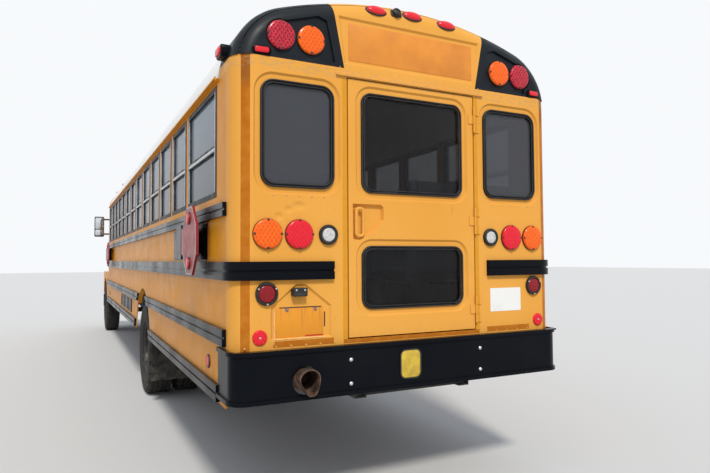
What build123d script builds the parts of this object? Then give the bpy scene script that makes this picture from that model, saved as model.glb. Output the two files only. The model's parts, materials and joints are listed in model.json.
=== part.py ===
from build123d import *
import os
from math import asin, atan2, cos, degrees, hypot, radians, sin, sqrt

# A hooded school bus at its real size, in millimetres.
# It stands on z = 0, front towards -Y, its left side towards +X, origin under the middle of its outline.

os.makedirs("parts", exist_ok=True)

sides = (("left", 1), ("right", -1))

# Driving dimensions: the body shell
overall_length = 12080
body_width = 2390
wall_thickness = 45
skirt_thickness = 12
skirt_bottom = 700
floor_top = 1060
floor_thickness = 45
eave_z = 2660
crown_radius = 2830
corner_radius = 430
roof_thickness = 40

# Driving dimensions: places along the body
tail_reach = 110
bumper_reach = 50
corner_panel_length = 150
cap_length = 350
rear_corner_radius = 130
first_window_inset = 385
first_post_inset = 1345
post_pitch = 711
post_width = 76
front_overhang = 860
wheelbase = 7010
hood_run = 1810
entrance_inset = 235
entrance_width = 720

# Driving dimensions: windows
window_sill = 1940
window_head = 2640
window_rail_z = 2250
seal_gap = 0.3
frame_face = 34
frame_depth = 30
glass_thickness = 6

# Driving dimensions: wheels and axles
tyre_radius = 525
tyre_width = 280
rim_radius = 286
tyre_wall_gap = 15
twin_spacing = 330
kingpin_offset = 150
rear_arch_radius = 700
front_arch_radius = 640

# Driving dimensions: chassis
frame_rail_x = 430
frame_rail_height = 240
frame_rail_flange = 80
frame_rail_web = 10
sill_height = 75
sill_width = 60

half_width = body_width / 2
inner_x = half_width - wall_thickness
front_face_y = -overall_length / 2
rear_face_y = overall_length / 2
rear_plane = rear_face_y - tail_reach
bumper_face_y = rear_plane + bumper_reach
wall_rear_y = rear_plane - corner_panel_length
floor_bottom = floor_top - floor_thickness
frame_top = floor_bottom - sill_height
frame_bottom = frame_top - frame_rail_height
front_axle_y = front_face_y + front_overhang
cowl_face_y = front_face_y + hood_run
entrance_front_y = cowl_face_y + entrance_inset
entrance_rear_y = entrance_front_y + entrance_width
rear_axle_y = front_axle_y + wheelbase
axle_z = tyre_radius

crown_lean = degrees(asin((half_width - corner_radius) / (crown_radius - corner_radius)))
crown_centre_z = eave_z - (crown_radius - corner_radius) * cos(radians(crown_lean))
roof_top = crown_centre_z + crown_radius

first_post_y = rear_plane - first_post_inset
post_count = int((first_post_y - post_width / 2 - entrance_rear_y) / post_pitch) + 1
post_ys = [first_post_y - post_pitch * k for k in range(post_count)]
last_post_y = post_ys[-1]


def slab(x_range, y_range, z_range, mode=Mode.ADD):
    ranges = (x_range, y_range, z_range)
    with Locations(tuple((low + high) / 2 for low, high in ranges)):
        Box(*(high - low for low, high in ranges), mode=mode)


def pane(u_range, v_range, radius=0, mode=Mode.ADD):
    width = u_range[1] - u_range[0]
    height = v_range[1] - v_range[0]
    with Locations(((u_range[0] + u_range[1]) / 2, (v_range[0] + v_range[1]) / 2)):
        if radius:
            RectangleRounded(width, height, radius, mode=mode)
        else:
            Rectangle(width, height, mode=mode)


def spread(side, near, far):
    return tuple(sorted((side * near, side * far)))


# Hinges: barrels in turn on the fixed and the moving side, round one pin
barrel_radius = 9
barrel_height = 60
barrel_gap = 1
hinge_pin_radius = 5
hinge_plate = 46
pin_gap = 0.3


def hinge_barrel(x, y, z_range, radius=barrel_radius):
    with BuildSketch(Plane.XY.offset(z_range[0])) as ring:
        with Locations((x, y)):
            Circle(radius)
    extrude(ring.sketch, amount=z_range[1] - z_range[0])


def hinge_bore(x, y, z_range):
    with BuildSketch(Plane.XY.offset(z_range[0] - 1)) as ring:
        with Locations((x, y)):
            Circle(hinge_pin_radius + pin_gap)
    extrude(ring.sketch, amount=z_range[1] - z_range[0] + 2, mode=Mode.SUBTRACT)


# The body's cross-section from a level up to the crown: two corner arcs and one flat crown arc
def body_outline(inset, bottom, mode=Mode.ADD):
    reach = half_width - inset
    corner_x = half_width - corner_radius
    with BuildLine() as outline:
        CenterArc((corner_x, eave_z), corner_radius - inset, 0, 90 - crown_lean)
        CenterArc((0, crown_centre_z), crown_radius - inset, 90 - crown_lean, 2 * crown_lean)
        CenterArc((-corner_x, eave_z), corner_radius - inset, 90 + crown_lean, 90 - crown_lean)
        if bottom < eave_z:
            Polyline((-reach, eave_z), (-reach, bottom), (reach, bottom), (reach, eave_z))
        else:
            Line((-reach, eave_z), (reach, eave_z))
    make_face(outline.edges(), mode=mode)


# Chassis

crossmember_height = 160
crossmember_width = 90
rear_rail_end = rear_plane - 20
front_rail_end = front_face_y + 110
crossmember_ys = (front_axle_y - 560, front_axle_y + 900, rear_axle_y - 4420, rear_axle_y - 2520, rear_axle_y - 800, rear_axle_y + 800,
                  rear_plane - 1330, rear_rail_end - 60)

with BuildPart() as frame_rails:
    for name, side in sides:
        with BuildSketch(Plane.XZ.offset(-rear_rail_end)):
            pane(spread(side, frame_rail_x - frame_rail_flange, frame_rail_x), (frame_bottom, frame_top))
            pane(
                spread(side, frame_rail_x - frame_rail_flange - 1, frame_rail_x - frame_rail_web),
                (frame_bottom + frame_rail_web, frame_top - frame_rail_web),
                mode=Mode.SUBTRACT,
            )
        extrude(amount=rear_rail_end - front_rail_end)
    for y in crossmember_ys:
        slab(
            (frame_rail_web - frame_rail_x, frame_rail_x - frame_rail_web),
            (y - crossmember_width / 2, y + crossmember_width / 2),
            (frame_bottom + frame_rail_web, frame_bottom + crossmember_height),
        )
frame_rails.part.label = "frame_rails"
export_step(frame_rails.part, "parts/frame_rails.step")

engine_x = (-330, 330)
engine_y = (front_axle_y - 430, front_axle_y + 800)
engine_z = (frame_bottom - 60, 1330)
flange_edge_x = frame_rail_x - frame_rail_flange
mount_bar = 25
with BuildPart() as engine:
    slab(engine_x, engine_y, engine_z)
    for y in (engine_y[0] + 180, engine_y[1] - 180):
        slab((-flange_edge_x, flange_edge_x), (y - 40, y + 40), (frame_bottom, frame_bottom + mount_bar))
engine.part.label = "engine"
export_step(engine.part, "parts/engine.step")

# Springs: an arc of flat leaves between two frame brackets, clamped on the axle
spring_x = frame_rail_x - frame_rail_flange / 2
spring_width = 76
leaf_stack = 50
axle_tube_radius = 70
spring_seat = 8
# columns: axle place, half length, height of the spring's middle
rear_spring_z = axle_z + axle_tube_radius + spring_seat + leaf_stack / 2
spring_table = ((front_axle_y, 620, axle_z - 20), (rear_axle_y, 720, rear_spring_z))
front_beam_top = axle_z - 20 - leaf_stack / 2
with BuildPart() as leaf_springs:
    for axle_y, half_length, middle_z in spring_table:
        rise = frame_bottom - 20 - leaf_stack / 2 - middle_z
        radius = (half_length**2 + rise**2) / (2 * rise)
        lean = degrees(asin(half_length / radius))
        for name, side in sides:
            with BuildSketch(Plane.YZ.offset(side * spring_x - spring_width / 2)):
                with BuildLine():
                    centre = (axle_y, middle_z + radius)
                    outer = CenterArc(centre, radius + leaf_stack / 2, -90 - lean, 2 * lean)
                    inner = CenterArc(centre, radius - leaf_stack / 2, -90 - lean, 2 * lean)
                    Line(outer @ 0, inner @ 0)
                    Line(outer @ 1, inner @ 1)
                make_face()
                for end in (-1, 1):
                    pane(
                        (axle_y + end * half_length - 45, axle_y + end * half_length + 45),
                        (frame_bottom - 60, frame_bottom),
                    )
            extrude(amount=spring_width)
leaf_springs.part.label = "leaf_springs"
export_step(leaf_springs.part, "parts/leaf_springs.step")

# Front axle: a beam dropped under the engine with an eye at each kingpin
front_tyre_x = half_width - tyre_width / 2
kingpin_x = front_tyre_x - kingpin_offset
kingpin_radius = 24
kingpin_gap = 0.3
eye_radius = 48
eye_height = 90
beam_bottom = 400
beam_drop_x = 640
beam_width = 90
with BuildPart() as front_axle:
    with BuildSketch(Plane.XZ.offset(-front_axle_y - beam_width / 2)):
        with BuildLine():
            Polyline(
                (-beam_drop_x, beam_bottom),
                (beam_drop_x, beam_bottom),
                (kingpin_x - eye_radius - 20, axle_z - eye_height / 2),
                (kingpin_x, axle_z - eye_height / 2),
                (kingpin_x, axle_z + eye_height / 2),
                (beam_drop_x - 40, front_beam_top),
                (-beam_drop_x + 40, front_beam_top),
                (-kingpin_x, axle_z + eye_height / 2),
                (-kingpin_x, axle_z - eye_height / 2),
                (-kingpin_x + eye_radius + 20, axle_z - eye_height / 2),
                (-beam_drop_x, beam_bottom),
            )
        make_face()
    extrude(amount=beam_width)
    with BuildSketch(Plane.XY.offset(axle_z - eye_height / 2)):
        with Locations((kingpin_x, front_axle_y), (-kingpin_x, front_axle_y)):
            Circle(eye_radius)
    extrude(amount=eye_height)
    with BuildSketch(Plane.XY.offset(axle_z - eye_height)):
        with Locations((kingpin_x, front_axle_y), (-kingpin_x, front_axle_y)):
            Circle(kingpin_radius + kingpin_gap)
    extrude(amount=2 * eye_height, mode=Mode.SUBTRACT)
front_axle.part.label = "front_axle"
export_step(front_axle.part, "parts/front_axle.step")

# Knuckles: a fork over the axle eye, the kingpin, the wheel spindle, and the arm to the tie rod
fork_gap = 6
fork_thickness = 42
spindle_radius = 38
spindle_end_x = front_tyre_x + 40
steer_arm_length = 210
steer_arm_z = axle_z - eye_height / 2 - fork_gap - fork_thickness
steer_arm_height = 34
tie_rod_radius = 20
tie_rod_gap = 0.3
fork_bottom = axle_z - eye_height / 2 - fork_gap - fork_thickness
fork_top = axle_z + eye_height / 2 + fork_gap + fork_thickness
for name, side in sides:
    with BuildPart() as knuckle:
        with BuildSketch(Plane.XY.offset(fork_bottom)):
            with Locations((side * kingpin_x, front_axle_y)):
                Circle(eye_radius + 8)
            pane(spread(side, kingpin_x, kingpin_x + eye_radius + 34), (front_axle_y - 50, front_axle_y + 50))
        extrude(amount=fork_top - fork_bottom)
        with BuildSketch(Plane.XY.offset(fork_bottom + fork_thickness)):
            with Locations((side * kingpin_x, front_axle_y)):
                Circle(eye_radius + 12)
            pane(spread(side, 0, kingpin_x), (front_axle_y - 90, front_axle_y + 90))
        extrude(amount=eye_height + 2 * fork_gap, mode=Mode.SUBTRACT)
        with BuildSketch(Plane.XY.offset(fork_bottom)):
            with Locations((side * kingpin_x, front_axle_y)):
                Circle(kingpin_radius)
        extrude(amount=fork_top - fork_bottom)
        with BuildSketch(Plane.YZ.offset(side * (kingpin_x + eye_radius + 20))):
            with Locations((front_axle_y, axle_z)):
                Circle(spindle_radius)
        extrude(amount=side * (spindle_end_x - kingpin_x - eye_radius - 20))
        with BuildSketch(Plane.XY.offset(steer_arm_z)):
            pane(
                spread(side, kingpin_x - 30, kingpin_x + 30),
                (front_axle_y + 20, front_axle_y + steer_arm_length),
            )
            with Locations((side * kingpin_x, front_axle_y + steer_arm_length)):
                Circle(30)
        extrude(amount=steer_arm_height)
    knuckle.part.label = f"knuckle_{name}"
    export_step(knuckle.part, f"parts/knuckle_{name}.step")

tie_rod_z = steer_arm_z - tie_rod_gap - tie_rod_radius
with BuildPart() as tie_rod:
    with BuildSketch(Plane.YZ.offset(-kingpin_x)):
        with Locations((front_axle_y + steer_arm_length, tie_rod_z)):
            Circle(tie_rod_radius)
    extrude(amount=2 * kingpin_x)
tie_rod.part.label = "tie_rod"
export_step(tie_rod.part, "parts/tie_rod.step")

# Rear axle: tube, round differential housing and spring seats
housing_radius = 200
rear_outer_x = half_width - tyre_wall_gap - tyre_width / 2
rear_inner_x = rear_outer_x - twin_spacing
rear_hub_x = (rear_outer_x + rear_inner_x) / 2
with BuildPart() as rear_axle:
    with BuildSketch(Plane.YZ.offset(-rear_outer_x)):
        with Locations((rear_axle_y, axle_z)):
            Circle(axle_tube_radius)
    extrude(amount=2 * rear_outer_x)
    with BuildSketch(Plane.XZ.offset(-rear_axle_y - 170)):
        with Locations((0, axle_z)):
            Circle(housing_radius)
    extrude(amount=340)
    chamfer(rear_axle.faces().filter_by(GeomType.PLANE).sort_by(Axis.Y)[-1].edges(), 60)
    chamfer(rear_axle.faces().filter_by(GeomType.PLANE).sort_by(Axis.Y)[0].edges(), 60)
    for name, side in sides:
        slab(
            spread(side, spring_x - spring_width / 2, spring_x + spring_width / 2),
            (rear_axle_y - 70, rear_axle_y + 70),
            (axle_z - 90, rear_spring_z - leaf_stack / 2),
        )
rear_axle.part.label = "rear_axle"
export_step(rear_axle.part, "parts/rear_axle.step")

shaft_radius = 52
shaft_front_z = 600
shaft_rear_z = 560
with BuildPart() as drive_shaft:
    with BuildSketch(Plane.XZ.offset(-rear_axle_y + 170)):
        with Locations((0, shaft_rear_z)):
            Circle(shaft_radius)
    with BuildSketch(Plane.XZ.offset(-engine_y[1])):
        with Locations((0, shaft_front_z + 10)):
            Circle(shaft_radius)
    loft()
drive_shaft.part.label = "drive_shaft"
export_step(drive_shaft.part, "parts/drive_shaft.step")

tank_y = (rear_axle_y + 1050, rear_axle_y + 2500)
with BuildPart() as fuel_tank:
    slab((-330, 330), tank_y, (500, frame_bottom + 60))
    fillet(fuel_tank.edges().filter_by(Axis.Y), 40)
    for y in (tank_y[0] + 300, tank_y[1] - 300):
        slab((-flange_edge_x, flange_edge_x), (y - 30, y + 30), (frame_bottom, frame_bottom + mount_bar))
fuel_tank.part.label = "fuel_tank"
export_step(fuel_tank.part, "parts/fuel_tank.step")

# Exhaust: pipe along the left rail, silencer, and a tail pipe that passes through the rear bumper
pipe_radius = 45
tail_radius = 70
tail_x = 776
tail_z = 856
pipe_x = frame_rail_x + 18 + pipe_radius
silencer_y = (rear_axle_y - 2600, rear_axle_y - 1400)
silencer_radius = 130
silencer_x = frame_rail_x + 20 + silencer_radius
hanger_ys = (engine_y[1] + 300, rear_axle_y - 4020, rear_axle_y - 900, rear_axle_y + 1100, rear_plane - 1250)
tail_route = (
    (pipe_x, engine_y[1] - 100, tail_z),
    (pipe_x, rear_plane - 1100, tail_z),
    (tail_x, rear_plane - 700, tail_z),
    (tail_x, rear_face_y - 10, tail_z),
)
with BuildPart() as exhaust:
    with BuildLine() as route:
        FilletPolyline(*tail_route, radius=180)
    with BuildSketch(Plane(origin=tail_route[0], z_dir=(0, 1, 0))):
        Circle(pipe_radius)
    sweep()
    with BuildSketch(Plane.XZ.offset(-silencer_y[1])):
        with Locations((silencer_x, tail_z - 120)):
            Circle(silencer_radius)
    extrude(amount=silencer_y[1] - silencer_y[0])
    with BuildSketch(Plane.XZ.offset(-rear_face_y)):
        with Locations((tail_x, tail_z)):
            Circle(tail_radius)
    extrude(amount=360)
    with BuildSketch(Plane.XZ.offset(-rear_face_y)):
        with Locations((tail_x, tail_z)):
            Circle(tail_radius - 5)
    extrude(amount=300, mode=Mode.SUBTRACT)
    for y in hanger_ys:
        slab((frame_rail_x, pipe_x), (y - 20, y + 20), (tail_z - 25, tail_z + 25))
exhaust.part.label = "exhaust"
export_step(exhaust.part, "parts/exhaust.step")

# Bumpers
rail_depth = 25
bumper_wrap = 280
bumper_bottom = 745
bumper_top = 1040
bumper_steel = 10
bumper_corner = 110
bumper_half = half_width + rail_depth
lip_height = 24
lip_reach = 12
bumper_inner_y = bumper_face_y - lip_reach - bumper_steel


def bumper_band(near, far):
    with BuildSketch(Plane.XY.offset(bumper_bottom)) as band:
        pane((-bumper_half + near, bumper_half - near), (rear_plane - bumper_wrap, bumper_face_y - near))
        fillet(band.vertices().group_by(Axis.Y)[-1], bumper_corner - near)
        with BuildSketch(mode=Mode.PRIVATE) as inside:
            pane((-bumper_half + far, bumper_half - far), (rear_plane - bumper_wrap - 1, bumper_face_y - far))
            fillet(inside.vertices().group_by(Axis.Y)[-1], bumper_corner - far)
        add(inside.sketch, mode=Mode.SUBTRACT)
    return band.sketch


with BuildPart() as rear_bumper:
    extrude(bumper_band(lip_reach, lip_reach + bumper_steel), amount=bumper_top - bumper_bottom)
    lip = bumper_band(0, lip_reach + bumper_steel)
    extrude(lip, amount=lip_height)
    extrude(lip.moved(Location((0, 0, bumper_top - bumper_bottom - lip_height))), amount=lip_height)
    with BuildSketch(Plane.XY.offset(bumper_top - bumper_steel)):
        pane((-half_width, half_width), (rear_plane + 1, bumper_inner_y))
    extrude(amount=bumper_steel)
    with BuildSketch(Plane.XZ.offset(-bumper_face_y - 1)):
        with Locations((tail_x, tail_z)):
            Circle(tail_radius + 12)
    extrude(amount=3 * bumper_steel, mode=Mode.SUBTRACT)
    for name, side in sides:
        slab(
            spread(side, frame_rail_x - frame_rail_flange, frame_rail_x),
            (rear_rail_end, bumper_inner_y),
            (frame_bottom + 110, frame_top),
        )
rear_bumper.part.label = "rear_bumper"
export_step(rear_bumper.part, "parts/rear_bumper.step")

front_bumper_z = (500, 780)
front_bumper_depth = 90
front_bumper_half = 1190
hood_pivot_y = front_face_y + 70
hood_pivot_z = front_bumper_z[1] + 18
hood_pin_radius = 6
hood_lug_x = (404, 436)
ear_width = 20
ear_reach = 10
ear_rise = 8
with BuildPart() as front_bumper:
    with BuildSketch(Plane.XY.offset(front_bumper_z[0])):
        with BuildLine():
            Polyline(
                (-front_bumper_half, front_face_y + 170),
                (-front_bumper_half + 190, front_face_y),
                (front_bumper_half - 190, front_face_y),
                (front_bumper_half, front_face_y + 170),
                (front_bumper_half - 12, front_face_y + 178),
                (front_bumper_half - 196, front_face_y + 12),
                (-front_bumper_half + 196, front_face_y + 12),
                (-front_bumper_half + 12, front_face_y + 178),
                (-front_bumper_half, front_face_y + 170),
            )
        make_face()
    extrude(amount=front_bumper_z[1] - front_bumper_z[0])
    for level in (front_bumper_z[0], front_bumper_z[1] - 12):
        slab((-990, 990), (front_face_y, front_face_y + front_bumper_depth), (level, level + 12))
    for name, side in sides:
        slab(
            spread(side, frame_rail_x - frame_rail_flange, frame_rail_x),
            (front_face_y + 12, front_rail_end),
            (front_bumper_z[0] + 12, front_bumper_z[1] - 12),
        )
        for ear_x in (hood_lug_x[0] - ear_width - 1, hood_lug_x[1] + 1):
            slab(
                spread(side, ear_x, ear_x + ear_width),
                (hood_pivot_y - ear_reach, hood_pivot_y + ear_reach),
                (front_bumper_z[1] - 12, hood_pivot_z + ear_rise),
            )
        with BuildSketch(Plane.YZ.offset(side * (hood_lug_x[0] - ear_width))):
            with Locations((hood_pivot_y, hood_pivot_z)):
                Circle(hood_pin_radius)
        extrude(amount=side * (hood_lug_x[1] - hood_lug_x[0] + 2 * ear_width))
front_bumper.part.label = "front_bumper"
export_step(front_bumper.part, "parts/front_bumper.step")

# Wheels: tyres and rims are regular polygons with many sides, flat enough to roll
tyre_sides = 48
bead_width = 210
shoulder_drop = 62
shoulder_width = 24
bearing_gap = 0.3
bore_radius = spindle_radius + bearing_gap
rim_steel = 12


def many_sided(x, axle_y, radius):
    with BuildSketch(Plane(origin=(x, axle_y, axle_z), x_dir=(0, 1, 0), z_dir=(1, 0, 0))) as outline:
        RegularPolygon(radius, tyre_sides, major_radius=True)
    return outline.sketch


def tyre_at(centre_x, axle_y):
    disc = extrude(many_sided(centre_x - tyre_width / 2, axle_y, tyre_radius), amount=tyre_width, mode=Mode.PRIVATE)
    for end in (disc.faces().sort_by(Axis.X)[0], disc.faces().sort_by(Axis.X)[-1]):
        disc = disc.chamfer(shoulder_drop, shoulder_width, end.edges(), end)
    add(disc)
    bore = many_sided(centre_x - tyre_width, axle_y, rim_radius)
    extrude(bore, amount=2 * tyre_width, mode=Mode.SUBTRACT)


# The rim is a thin well with a disc at disc_x that carries the hub
def rim_at(centre_x, axle_y, disc_x, hub_radius, hub_range, hole_radius):
    extrude(many_sided(centre_x - bead_width / 2, axle_y, rim_radius), amount=bead_width)
    well = many_sided(centre_x - bead_width / 2 - 1, axle_y, rim_radius - rim_steel)
    extrude(well, amount=bead_width + 2, mode=Mode.SUBTRACT)
    extrude(many_sided(disc_x - rim_steel / 2, axle_y, rim_radius - 1), amount=rim_steel)
    with BuildSketch(Plane.YZ.offset(hub_range[0])) as hub:
        with Locations((axle_y, axle_z)):
            Circle(hub_radius)
    extrude(hub.sketch, amount=hub_range[1] - hub_range[0])
    with BuildSketch(Plane.YZ.offset(hub_range[0] - 1)) as hole:
        with Locations((axle_y, axle_z)):
            Circle(hole_radius)
    extrude(hole.sketch, amount=hub_range[1] - hub_range[0] + 2, mode=Mode.SUBTRACT)


for name, side in sides:
    with BuildPart() as front_tyre:
        tyre_at(side * front_tyre_x, front_axle_y)
    front_tyre.part.label = f"front_tyre_{name}"
    export_step(front_tyre.part, f"parts/front_tyre_{name}.step")

    with BuildPart() as front_wheel:
        disc_x = side * (front_tyre_x + 20)
        hub_range = spread(side, front_tyre_x - 60, spindle_end_x + 5)
        rim_at(side * front_tyre_x, front_axle_y, disc_x, 110, hub_range, bore_radius)
    front_wheel.part.label = f"front_wheel_{name}"
    export_step(front_wheel.part, f"parts/front_wheel_{name}.step")

    with BuildPart() as rear_tyres:
        tyre_at(side * rear_outer_x, rear_axle_y)
        tyre_at(side * rear_inner_x, rear_axle_y)
    rear_tyres.part.label = f"rear_tyres_{name}"
    export_step(rear_tyres.part, f"parts/rear_tyres_{name}.step")

    with BuildPart() as rear_wheels:
        hub_range = spread(side, rear_hub_x - 60, rear_outer_x + 5)
        hole = axle_tube_radius + bearing_gap
        rim_at(side * rear_outer_x, rear_axle_y, side * (rear_hub_x + 62), 120, hub_range, hole)
        rim_at(side * rear_inner_x, rear_axle_y, side * (rear_hub_x - 54), 120, hub_range, hole)
    rear_wheels.part.label = f"rear_wheels_{name}"
    export_step(rear_wheels.part, f"parts/rear_wheels_{name}.step")

flap_y = rear_axle_y + tyre_radius + 160
with BuildPart() as mud_flaps:
    for name, side in sides:
        slab(spread(side, 570, half_width - skirt_thickness - 3), (flap_y, flap_y + 10), (260, floor_bottom))
mud_flaps.part.label = "mud_flaps"
export_step(mud_flaps.part, "parts/mud_flaps.step")

# Body shell

entrance_bottom = 430
entrance_top = 2560
front_cap_y = cowl_face_y + 230
leaf_gap = 6
leaf_plate = 36
leaf_pivot_x = -half_width - barrel_radius - 3
leaf_pivots = {"front": entrance_front_y + leaf_gap / 2, "rear": entrance_rear_y - leaf_gap / 2}
# columns: bottom and top of each barrel on a leaf
leaf_barrels = ((900, 980), (2400, 2480))


# The fixed side of an entrance leaf's hinges: the pin and a barrel above and below each of the leaf's
def leaf_hinge_seats(pivot_y, reach, barrels):
    for low, high in barrels:
        hinge_barrel(leaf_pivot_x, pivot_y, (low - barrel_height, high + barrel_height), hinge_pin_radius)
        for seat in ((low - barrel_height, low - barrel_gap), (high + barrel_gap, high + barrel_height)):
            hinge_barrel(leaf_pivot_x, pivot_y, seat)
            slab((leaf_pivot_x + 3, -half_width), tuple(sorted((pivot_y, pivot_y + reach))), seat)


step_height = 210
step_depth = 225
leaf_thickness = 32
step_plate = 12
plate_margin = 30
cowl_thickness = 40
housing_steel = 10
housing_inner_x = rear_inner_x - tyre_width / 2 - 18
arch_floor_half = sqrt((rear_arch_radius - housing_steel) ** 2 - (floor_top - axle_z) ** 2)
floor_front_y = cowl_face_y + cowl_thickness
floor_rear_y = rear_plane - wall_thickness
stepwell_outer_x = inner_x
stepwell_inner_x = stepwell_outer_x - 3 * step_depth
sill_pitch = 760
last_sill_y = floor_rear_y - 120
sill_count = int((last_sill_y - sill_width / 2 - entrance_front_y) // sill_pitch) + 1
sill_ys = [last_sill_y - sill_pitch * k for k in range(sill_count)]

with BuildPart() as floor:
    with BuildSketch(Plane.XY.offset(floor_bottom)):
        pane((-inner_x, inner_x), (floor_front_y, floor_rear_y))
        pane((-inner_x - 1, -stepwell_inner_x), (entrance_front_y, entrance_rear_y), mode=Mode.SUBTRACT)
        for name, side in sides:
            pane(
                spread(side, housing_inner_x, inner_x),
                (rear_axle_y - arch_floor_half, rear_axle_y + arch_floor_half),
                mode=Mode.SUBTRACT,
            )
    extrude(amount=floor_thickness)
    for y in sill_ys:
        if abs(y - rear_axle_y) > rear_arch_radius + sill_width and y > entrance_rear_y + sill_width:
            slab((-inner_x, inner_x), (y - sill_width / 2, y + sill_width / 2), (frame_top, floor_bottom))
        else:
            slab(
                (-frame_rail_x, frame_rail_x),
                (y - sill_width / 2, y + sill_width / 2),
                (frame_top, floor_bottom),
            )
    for name, side in sides:
        with BuildSketch(Plane.YZ.offset(side * housing_inner_x)):
            with Locations((rear_axle_y, axle_z)):
                Circle(rear_arch_radius)
            with Locations((rear_axle_y, axle_z)):
                Circle(rear_arch_radius - housing_steel, mode=Mode.SUBTRACT)
            pane((rear_axle_y - 900, rear_axle_y + 900), (-400, floor_bottom), mode=Mode.SUBTRACT)
        extrude(amount=side * (inner_x - housing_inner_x))
        with BuildSketch(Plane.YZ.offset(side * housing_inner_x)):
            with Locations((rear_axle_y, axle_z)):
                Circle(rear_arch_radius)
            pane((rear_axle_y - 900, rear_axle_y + 900), (-400, floor_bottom), mode=Mode.SUBTRACT)
        extrude(amount=side * housing_steel)
    # the stepwell: three treads with their risers, and two end plates
    for step in range(3):
        tread_z = floor_top - step_height * (step + 1)
        tread_x = (-(stepwell_inner_x + step_depth * (step + 1)), -(stepwell_inner_x + step_depth * step))
        slab(tread_x, (entrance_front_y, entrance_rear_y), (tread_z - step_plate, tread_z))
        slab(
            (tread_x[1] - step_plate, tread_x[1]),
            (entrance_front_y, entrance_rear_y),
            (tread_z - step_plate, tread_z + step_height),
        )
    for end_y in (entrance_front_y - step_plate, entrance_rear_y):
        with BuildSketch(Plane.XZ.offset(-end_y - step_plate)):
            with BuildLine():
                low = floor_top - 3 * step_height - step_plate
                Polyline(
                    (-stepwell_inner_x + plate_margin, floor_top - floor_thickness),
                    (-stepwell_outer_x, floor_top - floor_thickness),
                    (-stepwell_outer_x, low),
                    (-(stepwell_inner_x + 2 * step_depth) + plate_margin, low),
                    (-stepwell_inner_x + plate_margin, floor_top - step_height - step_plate),
                    (-stepwell_inner_x + plate_margin, floor_top - floor_thickness),
                )
            make_face()
        extrude(amount=step_plate)
floor.part.label = "floor"
export_step(floor.part, "parts/floor.step")

# Side windows: one wide at the rear, then one between each pair of posts, and the driver's on the left
window_spans = [(first_post_y + post_width / 2, rear_plane - first_window_inset)]
window_spans += [(low + post_width / 2, high - post_width / 2) for high, low in zip(post_ys, post_ys[1:])]
driver_span = (front_cap_y + 20, last_post_y - post_width / 2)
side_windows = {"left": window_spans + [driver_span], "right": window_spans}
wall_front = {"left": front_cap_y, "right": entrance_rear_y}

for name, side in sides:
    with BuildPart() as wall:
        wall_x = half_width - wall_thickness if side > 0 else -half_width
        skirt_x = half_width - skirt_thickness if side > 0 else -half_width
        with BuildSketch(Plane.YZ.offset(wall_x)):
            pane((wall_front[name], wall_rear_y), (floor_bottom, eave_z))
            if side < 0:
                pane((front_cap_y, entrance_rear_y), (entrance_top + 15, eave_z))
            for span in side_windows[name]:
                pane(span, (window_sill, window_head), mode=Mode.SUBTRACT)
            with Locations((rear_axle_y, axle_z)):
                Circle(rear_arch_radius, mode=Mode.SUBTRACT)
        extrude(amount=wall_thickness)
        with BuildSketch(Plane.YZ.offset(skirt_x)):
            pane((wall_front[name], wall_rear_y), (skirt_bottom, floor_bottom))
            with Locations((rear_axle_y, axle_z)):
                Circle(rear_arch_radius, mode=Mode.SUBTRACT)
        extrude(amount=skirt_thickness)
        if side < 0:
            leaf_hinge_seats(leaf_pivots["rear"], leaf_plate, leaf_barrels)
    wall.part.label = f"{name}_wall"
    export_step(wall.part, f"parts/{name}_wall.step")

roof_rear_y = rear_plane - cap_length
roof_front_y = cowl_face_y + 440
with BuildPart() as roof:
    with BuildSketch(Plane.XZ.offset(-roof_rear_y)):
        body_outline(0, eave_z)
        body_outline(roof_thickness, eave_z - 10, mode=Mode.SUBTRACT)
    extrude(amount=roof_rear_y - roof_front_y)
roof.part.label = "roof"
export_step(roof.part, "parts/roof.step")

# Rear wall: the flat back with both rounded corner panels
rear_door_half = 478
rear_door_z = (1077, 2669)
door_gap = 8
cap_bottom = 2730
rear_wall_bottom = bumper_top - 60
plate_hole_spacing = 177.8
plate_hole_radius = 3.5
plate_hole_x = 785
plate_hole_z = 1262
rear_window_x = (571, 1036)
rear_window_radius = 80
gasket_face = 24
rear_window_z = (1973, 2602)
door_hinge_x = -rear_door_half - door_gap + 2
door_hinge_y = rear_plane + barrel_radius + 3
door_hinge_zs = (1180, 1780, 2480)

# Pressings in the rear panels: each is a sloped step down to a flat floor
press_depth = 12
press_slope = 45
window_surround = 42
# columns: x, z of each corner
licence_corners = ((595, 1090), (975, 1090), (975, 1280), (820, 1410), (760, 1410), (595, 1280))
handle_corners = ((449, 1672), (449, 1895), (250, 1895), (231, 1876), (231, 1800), (300, 1725), (400, 1672))
handle_depth = 24


def press(corners, depth, slope=press_slope):
    with BuildSketch(Plane.XZ.offset(-rear_plane)) as outline:
        with BuildLine():
            Polyline(*corners, corners[0])
        make_face()
    extrude(outline.sketch, amount=depth, taper=slope, mode=Mode.SUBTRACT)


def press_round(x_range, z_range, radius):
    with BuildSketch(Plane.XZ.offset(-rear_plane)) as outline:
        pane(
            (x_range[0] - window_surround, x_range[1] + window_surround),
            (z_range[0] - window_surround, z_range[1] + window_surround),
            radius + window_surround,
        )
    extrude(outline.sketch, amount=press_depth, taper=press_slope, mode=Mode.SUBTRACT)


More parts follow.
